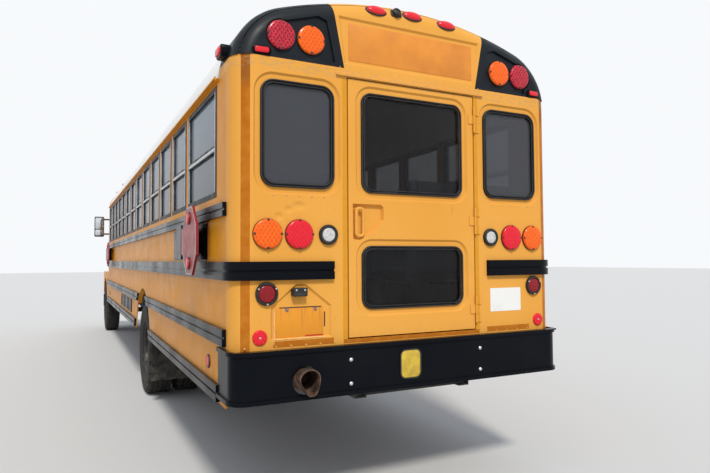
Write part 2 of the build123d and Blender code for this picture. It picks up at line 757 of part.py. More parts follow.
with BuildPart() as rear_wall:
    with BuildSketch(Plane.XZ.offset(-rear_plane)):
        body_outline(0, rear_wall_bottom)
        pane((-half_width, half_width), (cap_bottom, roof_top + 10), mode=Mode.SUBTRACT)
    extrude(amount=corner_panel_length)
    corner_edges = rear_wall.edges().filter_by(Axis.Z).group_by(Axis.Y)[-1]
    fillet(corner_edges, rear_corner_radius)
    with BuildSketch(Plane.XZ.offset(-rear_plane + wall_thickness)):
        body_outline(wall_thickness, rear_wall_bottom - 10)
    extrude(amount=corner_panel_length, mode=Mode.SUBTRACT)
    for name, side in sides:
        press_round(spread(side, *rear_window_x), rear_window_z, rear_window_radius)
    press(licence_corners, press_depth)
    with BuildSketch(Plane.XZ.offset(-rear_plane - 1)):
        pane(
            (-rear_door_half - door_gap, rear_door_half + door_gap),
            (rear_door_z[0] - door_gap, rear_door_z[1] + door_gap),
        )
        for name, side in sides:
            pane(spread(side, *rear_window_x), rear_window_z, rear_window_radius)
    extrude(amount=wall_thickness + 2, mode=Mode.SUBTRACT)
    with BuildSketch(Plane.XZ.offset(-rear_plane - 1)):
        with Locations((plate_hole_x, plate_hole_z)):
            with GridLocations(plate_hole_spacing, 1, 2, 1):
                Circle(plate_hole_radius)
    extrude(amount=wall_thickness + 2, mode=Mode.SUBTRACT)
    with BuildSketch(Plane.XZ.offset(-wall_rear_y)):
        body_outline(0, eave_z)
        body_outline(wall_thickness, eave_z - 10, mode=Mode.SUBTRACT)
        pane((-half_width, half_width), (cap_bottom, roof_top + 10), mode=Mode.SUBTRACT)
    extrude(amount=wall_rear_y - roof_rear_y)
    for z in door_hinge_zs:
        hinge_barrel(door_hinge_x, door_hinge_y, (z - barrel_height, z - barrel_gap))
        hinge_barrel(door_hinge_x, door_hinge_y, (z + barrel_height + barrel_gap, z + 2 * barrel_height))
        hinge_barrel(door_hinge_x, door_hinge_y, (z - barrel_height, z + 2 * barrel_height), hinge_pin_radius)
        for low in (z - barrel_height, z + barrel_height + barrel_gap):
            slab(
                (door_hinge_x - hinge_plate, door_hinge_x),
                (rear_plane, door_hinge_y - barrel_radius + 3),
                (low, low + barrel_height - barrel_gap),
            )
rear_wall.part.label = "rear_wall"
export_step(rear_wall.part, "parts/rear_wall.step")

# Rear cap: one moulding in two colours, so its centre and its shoulders are two nodes
cap_round = 110
cap_thickness = 30
split_top_x = 600
split_bottom_x = 500


def cap_form():
    with BuildPart() as form:
        with BuildSketch(Plane.XZ.offset(-rear_plane)):
            body_outline(0, cap_bottom)
            pane((-half_width, half_width), (0, cap_bottom), mode=Mode.SUBTRACT)
        extrude(amount=cap_length)
        back = form.faces().sort_by(Axis.Y)[-1]
        fillet(back.edges().filter_by(lambda edge: edge.center().Z > cap_bottom + 1), cap_round)
        with BuildSketch(Plane.XZ.offset(-rear_plane + cap_thickness)):
            body_outline(cap_thickness, cap_bottom - 200)
        extrude(amount=cap_length, mode=Mode.SUBTRACT)
    return form.part


def cap_centre_cutter(gap):
    with BuildPart() as cutter:
        with BuildSketch(Plane.XZ.offset(-rear_plane - 10)):
            with BuildLine():
                Polyline(
                    (-split_bottom_x + gap, cap_bottom - 10),
                    (split_bottom_x - gap, cap_bottom - 10),
                    (split_top_x - gap, roof_top + 10),
                    (-split_top_x + gap, roof_top + 10),
                    (-split_bottom_x + gap, cap_bottom - 10),
                )
            make_face()
        extrude(amount=cap_length + 20)
    return cutter.part


# columns: x, z of each corner
sign_corners = ((500, 2760), (540, 3055), (-540, 3055), (-500, 2760))
pocket_corners = ((950, 2748), (563, 2757), (618, 3008), (677, 3026), (880, 2962), (960, 2900))
cap_lamp_z = 2870
pocket_lamp_x = (720, 910)
pocket_round = 97
pocket_depth = 14
cap_blank = cap_form()
with BuildPart() as rear_cap:
    add(cap_blank)
    add(cap_centre_cutter(0), mode=Mode.INTERSECT)
    press(sign_corners, press_depth)
rear_cap.part.label = "rear_cap"
export_step(rear_cap.part, "parts/rear_cap.step")

with BuildPart() as cap_shoulders:
    add(cap_blank)
    add(cap_centre_cutter(0), mode=Mode.SUBTRACT)
    for name, side in sides:
        with BuildSketch(Plane.XZ.offset(-rear_plane - 1)):
            with BuildLine():
                Polyline(*[(side * x, z) for x, z in pocket_corners], (side * pocket_corners[0][0], pocket_corners[0][1]))
            make_face()
            with Locations((side * pocket_lamp_x[1], cap_lamp_z)):
                Circle(pocket_round)
        extrude(amount=pocket_depth + 1, mode=Mode.SUBTRACT)
cap_shoulders.part.label = "cap_shoulders"
export_step(cap_shoulders.part, "parts/cap_shoulders.step")

# Front: the cowl below the windscreen, and the front cap that frames it
cowl_top = 1800
screen_top_y = cowl_face_y + 130
screen_top_z = 2700
nose_y = cowl_face_y + 110


def front_form(inset):
    with BuildPart() as form:
        with BuildSketch(Plane.XZ.offset(-roof_front_y - inset)):
            body_outline(inset, cowl_top - 1 - inset)
        extrude(amount=600)
        with BuildSketch(Plane.YZ.offset(-half_width - 10)):
            with BuildLine():
                first = Polyline(
                    (front_cap_y + inset, eave_z - 2 * inset),
                    (front_cap_y + inset, cowl_top - inset),
                    (cowl_face_y + inset, cowl_top - inset),
                    (screen_top_y + inset, screen_top_z),
                    (nose_y + inset, screen_top_z + 60),
                )
                ThreePointArc(first @ 1, (nose_y + 70 + inset, roof_top - 190), (roof_front_y - 60, roof_top + 5))
                Polyline(
                    (roof_front_y - 60, roof_top + 5),
                    (roof_front_y + inset + 1, roof_top + 5),
                    (roof_front_y + inset + 1, eave_z - 2 * inset),
                    (front_cap_y + inset, eave_z - 2 * inset),
                )
            make_face()
        extrude(amount=body_width + 20, mode=Mode.INTERSECT)
    return form.part


screen_lean = atan2(screen_top_y - cowl_face_y, screen_top_z - cowl_top)
screen_normal = (0, -cos(screen_lean), sin(screen_lean))
screen_length = hypot(screen_top_y - cowl_face_y, screen_top_z - cowl_top)
screen_plane = Plane(
    origin=(0, (cowl_face_y + screen_top_y) / 2, (cowl_top + screen_top_z) / 2),
    x_dir=(1, 0, 0),
    z_dir=screen_normal,
)
screen_half = 1090
screen_margin = 70
front_inner = front_form(cowl_thickness)
with BuildPart() as front_cap:
    add(front_form(0))
    add(front_inner, mode=Mode.SUBTRACT)
    with BuildSketch(screen_plane.offset(-100)):
        Rectangle(2 * screen_half, screen_length - 2 * screen_margin)
    extrude(amount=200, mode=Mode.SUBTRACT)
    leaf_hinge_seats(leaf_pivots["front"], -leaf_plate, leaf_barrels[1:])
front_cap.part.label = "front_cap"
export_step(front_cap.part, "parts/front_cap.step")

with BuildPart() as windshield:
    with BuildSketch(screen_plane.offset(-30)):
        Rectangle(2 * screen_half - 2 * seal_gap, screen_length - 2 * screen_margin - 2 * seal_gap)
    extrude(amount=10)
windshield.part.label = "windshield"
export_step(windshield.part, "parts/windshield.step")

cowl_bottom = floor_bottom
with BuildPart() as cowl:
    with BuildSketch(Plane.XY.offset(cowl_bottom)) as cowl_plan:
        pane((-half_width, half_width), (cowl_face_y, front_cap_y))
        fillet(cowl_plan.vertices().group_by(Axis.Y)[0], 60)
    extrude(amount=cowl_top - cowl_bottom)
    slab(
        (-inner_x, inner_x),
        (cowl_face_y + cowl_thickness, front_cap_y + 1),
        (cowl_bottom - 1, cowl_top + 1),
        mode=Mode.SUBTRACT,
    )
    slab(
        (half_width - skirt_thickness, half_width),
        (cowl_face_y + 60, front_cap_y),
        (skirt_bottom, cowl_bottom),
    )
    slab((-half_width, -half_width + skirt_thickness), (cowl_face_y + 60, front_cap_y), (skirt_bottom, cowl_bottom))
    leaf_hinge_seats(leaf_pivots["front"], -leaf_plate, leaf_barrels[:1])
cowl.part.label = "cowl"
export_step(cowl.part, "parts/cowl.step")

# Window frames and glass
with BuildPart() as window_frames:
    for name, side in sides:
        frame_x = spread(side, half_width - frame_depth, half_width + 2)[0]
        with BuildSketch(Plane.YZ.offset(frame_x)):
            for span in side_windows[name]:
                inner_span = (span[0] + frame_face, span[1] - frame_face)
                pane(span, (window_sill, window_head))
                pane(inner_span, (window_sill + frame_face, window_head - frame_face), mode=Mode.SUBTRACT)
            for span in side_windows[name]:
                pane((span[0] + 1, span[1] - 1), (window_rail_z - 20, window_rail_z + 20))
        extrude(amount=frame_depth + 2)
    with BuildSketch(Plane.XZ.offset(-rear_plane + 2)):
        for name, side in sides:
            pane(spread(side, *rear_window_x), rear_window_z, rear_window_radius)
            pane(
                spread(side, rear_window_x[0] + gasket_face, rear_window_x[1] - gasket_face),
                (rear_window_z[0] + gasket_face, rear_window_z[1] - gasket_face),
                rear_window_radius - gasket_face,
                mode=Mode.SUBTRACT,
            )
    extrude(amount=frame_depth)
window_frames.part.label = "window_frames"
export_step(window_frames.part, "parts/window_frames.step")

pane_inset = gasket_face + seal_gap
with BuildPart() as window_glass:
    for name, side in sides:
        glass_x = spread(side, half_width - 14 - glass_thickness, half_width - 14)[0]
        with BuildSketch(Plane.YZ.offset(glass_x)):
            for span in side_windows[name]:
                inner_span = (span[0] + frame_face + seal_gap, span[1] - frame_face - seal_gap)
                pane(inner_span, (window_sill + frame_face + seal_gap, window_rail_z - 20 - seal_gap))
                pane(inner_span, (window_rail_z + 20 + seal_gap, window_head - frame_face - seal_gap))
        extrude(amount=glass_thickness)
    with BuildSketch(Plane.XZ.offset(-rear_plane + 14)):
        for name, side in sides:
            pane(
                spread(side, rear_window_x[0] + pane_inset, rear_window_x[1] - pane_inset),
                (rear_window_z[0] + pane_inset, rear_window_z[1] - pane_inset),
                rear_window_radius - pane_inset,
            )
    extrude(amount=glass_thickness)
window_glass.part.label = "window_glass"
export_step(window_glass.part, "parts/window_glass.step")

# Rear door
door_thickness = 45
door_window_half = 385
door_window_radius = 70
handle_slope = 20
grip_x = (416, 434)
grip_z = (1700, 1862)
grip_foot = 18
# columns: bottom, top
door_windows = ((1965, 2598), (1241, 1636))
with BuildPart() as rear_door:
    with BuildSketch(Plane.XZ.offset(-rear_plane)):
        pane((-rear_door_half, rear_door_half), rear_door_z)
        for z_range in door_windows:
            pane((-door_window_half, door_window_half), z_range, door_window_radius, mode=Mode.SUBTRACT)
    extrude(amount=door_thickness)
    for z_range in door_windows:
        press_round((-door_window_half, door_window_half), z_range, door_window_radius)
    press(handle_corners, handle_depth, handle_slope)
    slab(grip_x, (rear_plane - 8, rear_plane + 8), grip_z)
    for low in (grip_z[0], grip_z[1] - grip_foot):
        slab(grip_x, (rear_plane - handle_depth, rear_plane), (low, low + grip_foot))
    for z in door_hinge_zs:
        middle = (z, z + barrel_height)
        hinge_barrel(door_hinge_x, door_hinge_y, middle)
        slab(
            (door_hinge_x, door_hinge_x + hinge_plate),
            (rear_plane, door_hinge_y - barrel_radius + 3),
            middle,
        )
        hinge_bore(door_hinge_x, door_hinge_y, middle)
rear_door.part.label = "rear_door"
export_step(rear_door.part, "parts/rear_door.step")

with BuildPart() as rear_door_glass:
    with BuildSketch(Plane.XZ.offset(-rear_plane + 20)):
        for z_range in door_windows:
            pane(
                (-door_window_half + 0.3, door_window_half - 0.3),
                (z_range[0] + 0.3, z_range[1] - 0.3),
                door_window_radius,
            )
    extrude(amount=glass_thickness)
rear_door_glass.part.label = "rear_door_glass"
export_step(rear_door_glass.part, "parts/rear_door_glass.step")

# Entrance door: two leaves that open outwards
leaf_middle_gap = 16
leaf_border = 55
entrance_middle = (entrance_front_y + entrance_rear_y) / 2
# columns: leaf, its near edge, its far edge
leaves = (
    ("front", entrance_front_y + leaf_gap, entrance_middle - leaf_middle_gap / 2),
    ("rear", entrance_middle + leaf_middle_gap / 2, entrance_rear_y - leaf_gap),
)
leaf_panes = ((entrance_bottom + 120, 1150), (1250, entrance_top - 90))
for name, low_y, high_y in leaves:
    with BuildPart() as leaf:
        with BuildSketch(Plane.YZ.offset(-half_width)):
            pane((low_y, high_y), (entrance_bottom, entrance_top))
            for z_range in leaf_panes:
                pane((low_y + leaf_border, high_y - leaf_border), z_range, mode=Mode.SUBTRACT)
        extrude(amount=leaf_thickness)
        pivot_y = leaf_pivots[name]
        for z_range in leaf_barrels:
            hinge_barrel(leaf_pivot_x, pivot_y, z_range)
            reach = leaf_plate if name == "front" else -leaf_plate
            slab((leaf_pivot_x + 3, -half_width), tuple(sorted((pivot_y, pivot_y + reach))), z_range)
            hinge_bore(leaf_pivot_x, pivot_y, z_range)
    leaf.part.label = f"entrance_leaf_{name}"
    export_step(leaf.part, f"parts/entrance_leaf_{name}.step")

    with BuildPart() as leaf_glass:
        with BuildSketch(Plane.YZ.offset(-half_width + 12)):
            for z_range in leaf_panes:
                pane(
                    (low_y + leaf_border + 0.3, high_y - leaf_border - 0.3),
                    (z_range[0] + 0.3, z_range[1] - 0.3),
                )
        extrude(amount=glass_thickness)
    leaf_glass.part.label = f"entrance_glass_{name}"
    export_step(leaf_glass.part, f"parts/entrance_glass_{name}.step")

# Hood with its fenders: a tilting shell in one piece
hood_rear_y = cowl_face_y - 15
hood_front_y = front_face_y + 60
hood_shell = 16
hood_rear_half = 960
hood_front_half = 780
hood_rear_top = 1780
hood_front_top = 1470
fender_top = 1310
fender_half = half_width - 2
fender_front_bottom = hood_pivot_z + 14
fender_rear_bottom = 720
fender_inner_x = 600


def hood_form(inset):
    drop = 400 if inset else 0
    reach_back = 100 if inset else 0
    with BuildPart() as form:
        with BuildSketch(Plane.XY.offset(fender_front_bottom - drop)) as plan:
            with BuildLine():
                Polyline(
                    (-hood_rear_half + inset, hood_rear_y + reach_back),
                    (hood_rear_half - inset, hood_rear_y + reach_back),
                    (hood_front_half - inset, hood_front_y + inset),
                    (-hood_front_half + inset, hood_front_y + inset),
                    (-hood_rear_half + inset, hood_rear_y + reach_back),
                )
            make_face()
            fillet(plan.vertices().group_by(Axis.Y)[0], 120 - 2 * inset)
        extrude(amount=1700)
        with BuildSketch(Plane.YZ.offset(-hood_rear_half - 10)):
            with BuildLine():
                first = Polyline(
                    (hood_front_y + inset, fender_front_bottom - drop),
                    (hood_rear_y + reach_back, fender_front_bottom - drop),
                    (hood_rear_y + reach_back, hood_rear_top - inset),
                    (hood_front_y + 260, hood_front_top - inset),
                )
                ThreePointArc(
                    first @ 1,
                    (hood_front_y + 80 + inset * 0.7, hood_front_top - 70 - inset * 0.7),
                    (hood_front_y + inset, hood_front_top - 240 - inset),
                )
                Line(
                    (hood_front_y + inset, hood_front_top - 240 - inset),
                    (hood_front_y + inset, fender_front_bottom - drop),
                )
            make_face()
        extrude(amount=2 * hood_rear_half + 20, mode=Mode.INTERSECT)
    for name, side in sides:
        with BuildPart() as fender:
            with BuildSketch(Plane.YZ.offset(side * (fender_inner_x if not inset else fender_inner_x + 1))):
                with BuildLine():
                    first = Polyline(
                        (hood_front_y + inset, fender_front_bottom - drop),
                        (front_axle_y - 500, fender_front_bottom - drop),
                        (front_axle_y + 500, fender_rear_bottom - drop),
                        (hood_rear_y + reach_back, fender_rear_bottom - drop),
                        (hood_rear_y + reach_back, fender_top - inset),
                        (hood_front_y + 260, fender_top - inset),
                    )
                    ThreePointArc(
                        first @ 1,
                        (hood_front_y + 76 + inset * 0.7, fender_top - 76 - inset * 0.7),
                        (hood_front_y + inset, fender_top - 260),
                    )
                    Line((hood_front_y + inset, fender_top - 260), (hood_front_y + inset, fender_front_bottom - drop))
                make_face()
            extrude(amount=side * (fender_half - inset - fender_inner_x - (1 if inset else 0)))
            with BuildSketch(Plane.XY.offset(fender_rear_bottom - drop - 10)) as corner:
                pane(spread(side, 0, fender_half - inset), (hood_front_y + inset, hood_rear_y + reach_back))
                fillet(
                    corner.vertices().group_by(Axis.Y)[0].sort_by(Axis.X)[-1 if side > 0 else 0],
                    240 - inset,
                )
            extrude(amount=1400, mode=Mode.INTERSECT)
        form.part = form.part + fender.part
    return form.part


hood_inner = hood_form(hood_shell)
grille_half = 480
grille_z = (850, 1200)
headlamp_x = (600, 900)
headlamp_z = (900, 1060)
with BuildPart() as hood:
    add(hood_form(0))
    add(hood_inner, mode=Mode.SUBTRACT)
    with BuildSketch(Plane.YZ.offset(-half_width - 10)):
        with Locations((front_axle_y, axle_z)):
            Circle(front_arch_radius)
    extrude(amount=body_width + 20, mode=Mode.SUBTRACT)
    slab((-grille_half, grille_half), (hood_front_y - 10, hood_front_y + 60), grille_z, mode=Mode.SUBTRACT)
    for name, side in sides:
        slab(
            spread(side, *headlamp_x),
            (hood_front_y - 10, hood_front_y + 60),
            headlamp_z,
            mode=Mode.SUBTRACT,
        )
        with BuildSketch(Plane.YZ.offset(side * hood_lug_x[0])):
            with Locations((hood_pivot_y, hood_pivot_z)):
                Circle(hood_pin_radius + 5)
            pane((hood_pivot_y - 8, hood_pivot_y + 11), (hood_pivot_z, fender_front_bottom + 16))
            with Locations((hood_pivot_y, hood_pivot_z)):
                Circle(hood_pin_radius + pin_gap, mode=Mode.SUBTRACT)
        extrude(amount=side * (hood_lug_x[1] - hood_lug_x[0]))
hood.part.label = "hood"
export_step(hood.part, "parts/hood.step")

bar_count = 6
bar_height = 26
with BuildPart() as grille:
    with BuildSketch(Plane.XZ.offset(-hood_front_y - hood_shell)):
        pane((-grille_half, grille_half), grille_z)
        pane(
            (-grille_half + 30, grille_half - 30),
            (grille_z[0] + 30, grille_z[1] - 30),
            mode=Mode.SUBTRACT,
        )
        for k in range(bar_count):
            level = grille_z[0] + 30 + (grille_z[1] - grille_z[0] - 60) * (k + 1) / (bar_count + 1)
            pane((-grille_half + 20, grille_half - 20), (level - bar_height / 2, level + bar_height / 2))
    extrude(amount=hood_shell + 8)
grille.part.label = "grille"
export_step(grille.part, "parts/grille.step")

with BuildPart() as headlamps:
    for name, side in sides:
        slab(spread(side, *headlamp_x), (hood_front_y - 6, hood_front_y + 50), headlamp_z)
headlamps.part.label = "headlamps"
export_step(headlamps.part, "parts/headlamps.step")

# Inside
dash_y = (floor_front_y, floor_front_y + 330)
wheel_centre = (620, cowl_face_y + 480, 1720)
wheel_tilt = 35
wheel_axis = (0, sin(radians(wheel_tilt)), cos(radians(wheel_tilt)))
steering_plane = Plane(origin=wheel_centre, x_dir=(1, 0, 0), z_dir=wheel_axis)
wheel_radius = 225
grip_radius = 16
column_length = 130
column_radius = 24
column_reach = 260
sleeve_top = 70
with BuildPart() as dash:
    with BuildSketch(Plane.YZ.offset(-inner_x + 500)):
        with BuildLine():
            Polyline(
                (dash_y[0], floor_top),
                (dash_y[0] + 120, floor_top),
                (dash_y[0] + 180, 1450),
                (dash_y[1], 1560),
                (dash_y[1] - 60, 1720),
                (dash_y[0], 1780),
                (dash_y[0], floor_top),
            )
        make_face()
    extrude(amount=2 * inner_x - 500 - 1)
    with BuildSketch(steering_plane.offset(-column_reach)):
        Circle(column_radius + 14)
    extrude(amount=column_reach - sleeve_top)
    with BuildSketch(steering_plane.offset(-column_length - 2)):
        Circle(column_radius + bearing_gap)
    extrude(amount=column_length + 2, mode=Mode.SUBTRACT)
dash.part.label = "dash"
export_step(dash.part, "parts/dash.step")

with BuildPart() as steering_wheel:
    with BuildSketch(steering_plane.offset(-grip_radius)):
        Circle(wheel_radius + grip_radius)
        Circle(wheel_radius - grip_radius, mode=Mode.SUBTRACT)
    extrude(amount=2 * grip_radius)
    with BuildSketch(steering_plane.offset(-12)):
        Rectangle(2 * wheel_radius, 40)
        Circle(55)
    extrude(amount=24)
    with BuildSketch(steering_plane.offset(-column_length)):
        Circle(column_radius)
    extrude(amount=column_length)
steering_wheel.part.label = "steering_wheel"
export_step(steering_wheel.part, "parts/steering_wheel.step")

seat_pitch = post_pitch
rear_seat_back_y = rear_plane - 360
front_bench_limit = entrance_rear_y + 620
seat_rows = int((rear_seat_back_y - front_bench_limit) / seat_pitch) + 1
bench_width = 985
bench_depth = 420
cushion_top = floor_top + 430
cushion_thickness = 110
back_top = floor_top + 1090
back_thickness = 70
seat_wall_gap = 2
back_lean = 60
bench_x = (inner_x - seat_wall_gap - bench_width, inner_x - seat_wall_gap)
row_ys = [rear_seat_back_y - seat_pitch * k for k in range(seat_rows)]
driver_y = cowl_face_y + 1110
with BuildPart() as seat_cushions:
    for name, side in sides:
        for y in row_ys:
            with BuildSketch(Plane.YZ.offset(spread(side, *bench_x)[0])):
                with BuildLine():
                    Polyline(
                        (y - bench_depth, cushion_top - cushion_thickness),
                        (y - bench_depth, cushion_top),
                        (y - 60, cushion_top - 20),
                        (y - back_thickness + back_lean, back_top),
                        (y + back_lean, back_top),
                        (y, cushion_top - cushion_thickness),
                        (y - bench_depth, cushion_top - cushion_thickness),
                    )
                make_face()
            extrude(amount=bench_width)
    slab((400, 840), (driver_y - 430, driver_y), (cushion_top - 40, cushion_top + 60))
    slab((400, 840), (driver_y, driver_y + 100), (cushion_top - 40, back_top + 150))
seat_cushions.part.label = "seat_cushions"
export_step(seat_cushions.part, "parts/seat_cushions.step")

with BuildPart() as seat_frames:
    for name, side in sides:
        for y in row_ys:
            slab(
                spread(side, bench_x[0] + 30, bench_x[0] + 60),
                (y - bench_depth + 40, y - 60),
                (floor_top, cushion_top - cushion_thickness),
            )
            slab(
                spread(side, bench_x[1] - 60, bench_x[1] - 30),
                (y - bench_depth + 40, y - 60),
                (cushion_top - cushion_thickness - 60, cushion_top - cushion_thickness),
            )
    slab((520, 720), (driver_y - 320, driver_y - 70), (floor_top, cushion_top - 40))
seat_frames.part.label = "seat_frames"
export_step(seat_frames.part, "parts/seat_frames.step")

# Rub rails along both sides; the one at seat height wraps the rear corners
# columns: bottom, top, rear end
rail_rows = (
    (1807, 1888, wall_rear_y + 10),
    (1054, 1153, wall_rear_y + 10),
    (712, 812, rear_plane - bumper_wrap - 4),
)
seat_rail_z = (1435, 1542)
wrap_end_x = 583
rail_front = {"left": cowl_face_y + 70, "right": entrance_rear_y + 12}
groove_floor = 15
groove_half = 7


def groove_range(low, high):
    middle = (low + high) / 2
    return (middle - groove_half, middle + groove_half)


with BuildPart() as rub_rails:
    for name, side in sides:
        with BuildSketch(Plane.YZ.offset(spread(side, half_width, half_width + rail_depth)[0])):
            for low, high, rear_end in rail_rows:
                pane((rail_front[name], rear_end), (low, high))
            pane((rail_front[name], wall_rear_y + 10), seat_rail_z)
            with Locations((rear_axle_y, axle_z)):
                Circle(rear_arch_radius + 20, mode=Mode.SUBTRACT)
        extrude(amount=rail_depth)
        for low, high in [row[:2] for row in rail_rows] + [seat_rail_z]:
            slab(
                spread(side, half_width + groove_floor, half_width + rail_depth + 1),
                (rail_front[name] - 1, wall_rear_y + 11),
                groove_range(low, high),
                mode=Mode.SUBTRACT,
            )
    with BuildSketch(Plane.XY.offset(seat_rail_z[0])) as wrap:
        pane((-half_width - rail_depth, half_width + rail_depth), (wall_rear_y, rear_plane + rail_depth))
        fillet(wrap.vertices().group_by(Axis.Y)[-1], rear_corner_radius + rail_depth)
        with BuildSketch(mode=Mode.PRIVATE) as body_plan:
            pane((-half_width, half_width), (wall_rear_y - 1, rear_plane))
            fillet(body_plan.vertices().group_by(Axis.Y)[-1], rear_corner_radius)
        add(body_plan.sketch, mode=Mode.SUBTRACT)
        pane((-wrap_end_x, wrap_end_x), (wall_rear_y - 5, rear_plane + rail_depth + 5), mode=Mode.SUBTRACT)
    extrude(amount=seat_rail_z[1] - seat_rail_z[0])
    groove_low, groove_high = groove_range(*seat_rail_z)
    with BuildSketch(Plane.XY.offset(groove_low)):
        pane((-half_width - rail_depth - 1, half_width + rail_depth + 1), (wall_rear_y, rear_plane + rail_depth + 1))
        with BuildSketch(mode=Mode.PRIVATE) as groove_plan:
            pane((-half_width - groove_floor, half_width + groove_floor), (wall_rear_y - 1, rear_plane + groove_floor))
            fillet(groove_plan.vertices().group_by(Axis.Y)[-1], rear_corner_radius + groove_floor)
        add(groove_plan.sketch, mode=Mode.SUBTRACT)
    extrude(amount=groove_high - groove_low, mode=Mode.SUBTRACT)
rub_rails.part.label = "rub_rails"
export_step(rub_rails.part, "parts/rub_rails.step")


# Lamps on the rear wall and in the cap's pockets: each is a round lens that stands out
lamp_depth = 26


def lamp_on_rear(x, z, radius, sunk=0):
    with BuildSketch(Plane.XZ.offset(-rear_plane + sunk)) as face:
        with Locations((x, z)):
            Circle(radius)
    extrude(face.sketch, amount=-lamp_depth, taper=12)


lamp_z = 1700
lamp_radius = 89
# columns: x, z, radius, how far its seat is sunk
red_table = (
    (802, lamp_z, lamp_radius, 0),
    (1000, 1358, 67, 0),
    (1040, 1112, 43, 0),
    (pocket_lamp_x[1], cap_lamp_z, lamp_radius, pocket_depth),
)
amber_table = ((995, lamp_z, lamp_radius, 0), (pocket_lamp_x[0], cap_lamp_z, lamp_radius, pocket_depth))
clear_table = ((616, lamp_z, 61, 0),)
with BuildPart() as red_lamps:
    for row in red_table:
        for name, side in sides:
            lamp_on_rear(side * row[0], *row[1:])
red_lamps.part.label = "red_lamps"
export_step(red_lamps.part, "parts/red_lamps.step")

with BuildPart() as amber_lamps:
    for row in amber_table:
        for name, side in sides:
            lamp_on_rear(side * row[0], *row[1:])
amber_lamps.part.label = "amber_lamps"
export_step(amber_lamps.part, "parts/amber_lamps.step")

with BuildPart() as clear_lamps:
    for row in clear_table:
        for name, side in sides:
            lamp_on_rear(side * row[0], *row[1:])
clear_lamps.part.label = "clear_lamps"
export_step(clear_lamps.part, "parts/clear_lamps.step")

# Mirrors on their arms
mirror_x = (1280, 1470)
mirror_y = (cowl_face_y - 180, cowl_face_y - 120)
mirror_z = (2070, 2500)
arm_radius = 16
arm_z = mirror_z[1] - 60
arm_seat_y = cowl_face_y + (arm_z - 20 - cowl_top) * (screen_top_y - cowl_face_y) / (screen_top_z - cowl_top) - seal_gap
with BuildPart() as mirrors:
    for name, side in sides:
        slab(spread(side, *mirror_x), mirror_y, mirror_z)
        with BuildSketch(Plane.YZ.offset(side * (half_width - 60))):
            with Locations(((mirror_y[0] + mirror_y[1]) / 2, arm_z)):
                Circle(arm_radius)
        extrude(amount=side * (mirror_x[1] - half_width))
        slab(
            spread(side, half_width - 80, half_width - 45),
            (mirror_y[0] + 10, arm_seat_y),
            (arm_z - 20, arm_z + 20),
        )
mirrors.part.label = "mirrors"
export_step(mirrors.part, "parts/mirrors.step")

# Stop arms: an octagon that folds flat against the left wall and swings out about its front edge
blade_width = 457
blade_z = 1682
blade_x = 1272
blade_thickness = 16
pivot_inset = 60
# columns: name, hinge place along the bus
stop_arms = (("rear", rear_plane - 1060), ("front", front_cap_y + 680))
pivot_x = blade_x + blade_thickness / 2
for name, hinge_y in stop_arms:
    with BuildPart() as stop_arm:
        with BuildSketch(Plane.YZ.offset(blade_x)):
            with Locations((hinge_y + pivot_inset + blade_width / 2, blade_z)):
                RegularPolygon(blade_width / 2, 8, major_radius=False, rotation=22.5)
            pane((hinge_y, hinge_y + pivot_inset + 20), (blade_z - 90, blade_z + 90))
        extrude(amount=blade_thickness)
        hinge_barrel(pivot_x, hinge_y, (blade_z - 90, blade_z + 90))
        hinge_bore(pivot_x, hinge_y, (blade_z - 90, blade_z + 90))
    stop_arm.part.label = f"stop_arm_{name}"
    export_step(stop_arm.part, f"parts/stop_arm_{name}.step")

bracket_gap = 15
ear_height = 14
with BuildPart() as stop_arm_brackets:
    for name, hinge_y in stop_arms:
        slab(
            (half_width + 0.3, blade_x + blade_thickness),
            (hinge_y - bracket_gap - 180, hinge_y - bracket_gap),
            (blade_z - 120, blade_z + 120),
        )
        hinge_barrel(pivot_x, hinge_y, (blade_z - 100, blade_z + 100), hinge_pin_radius)
        for low in (blade_z - 92 - ear_height, blade_z + 92):
            slab(
                (pivot_x - barrel_radius, pivot_x + barrel_radius),
                (hinge_y - bracket_gap - 20, hinge_y + barrel_radius),
                (low, low + ear_height),
            )
stop_arm_brackets.part.label = "stop_arm_brackets"
export_step(stop_arm_brackets.part, "parts/stop_arm_brackets.step")
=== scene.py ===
import json
import math

import bpy
from mathutils import Matrix, Vector


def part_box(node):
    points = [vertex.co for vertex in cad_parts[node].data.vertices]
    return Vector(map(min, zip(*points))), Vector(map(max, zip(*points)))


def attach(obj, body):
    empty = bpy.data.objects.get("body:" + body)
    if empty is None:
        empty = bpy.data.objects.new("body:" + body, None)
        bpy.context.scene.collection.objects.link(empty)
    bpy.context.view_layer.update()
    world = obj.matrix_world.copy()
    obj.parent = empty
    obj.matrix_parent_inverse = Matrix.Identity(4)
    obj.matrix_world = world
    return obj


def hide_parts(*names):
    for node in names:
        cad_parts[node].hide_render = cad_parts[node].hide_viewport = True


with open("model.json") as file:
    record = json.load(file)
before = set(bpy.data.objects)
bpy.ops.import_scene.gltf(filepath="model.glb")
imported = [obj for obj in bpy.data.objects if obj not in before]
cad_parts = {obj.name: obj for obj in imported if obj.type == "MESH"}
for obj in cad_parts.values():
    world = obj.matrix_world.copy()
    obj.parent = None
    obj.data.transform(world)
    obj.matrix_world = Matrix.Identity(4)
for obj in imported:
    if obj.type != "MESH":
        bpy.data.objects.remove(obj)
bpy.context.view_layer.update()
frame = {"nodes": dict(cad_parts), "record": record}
nodes = frame["nodes"]
print("stage: frame loaded,", len(nodes), "CAD nodes")


# shader nodes: every finish and the sky are put together with these
def connect(tree, node, values):
    # sockets by name or number: a constant stays on the socket, another node's result is linked to it
    for socket, value in values.items():
        if isinstance(value, bpy.types.NodeSocket):
            tree.links.new(value, node.inputs[socket])
        elif node.inputs[socket].type == "RGBA":
            node.inputs[socket].default_value = (*value, 1)
        else:
            node.inputs[socket].default_value = value


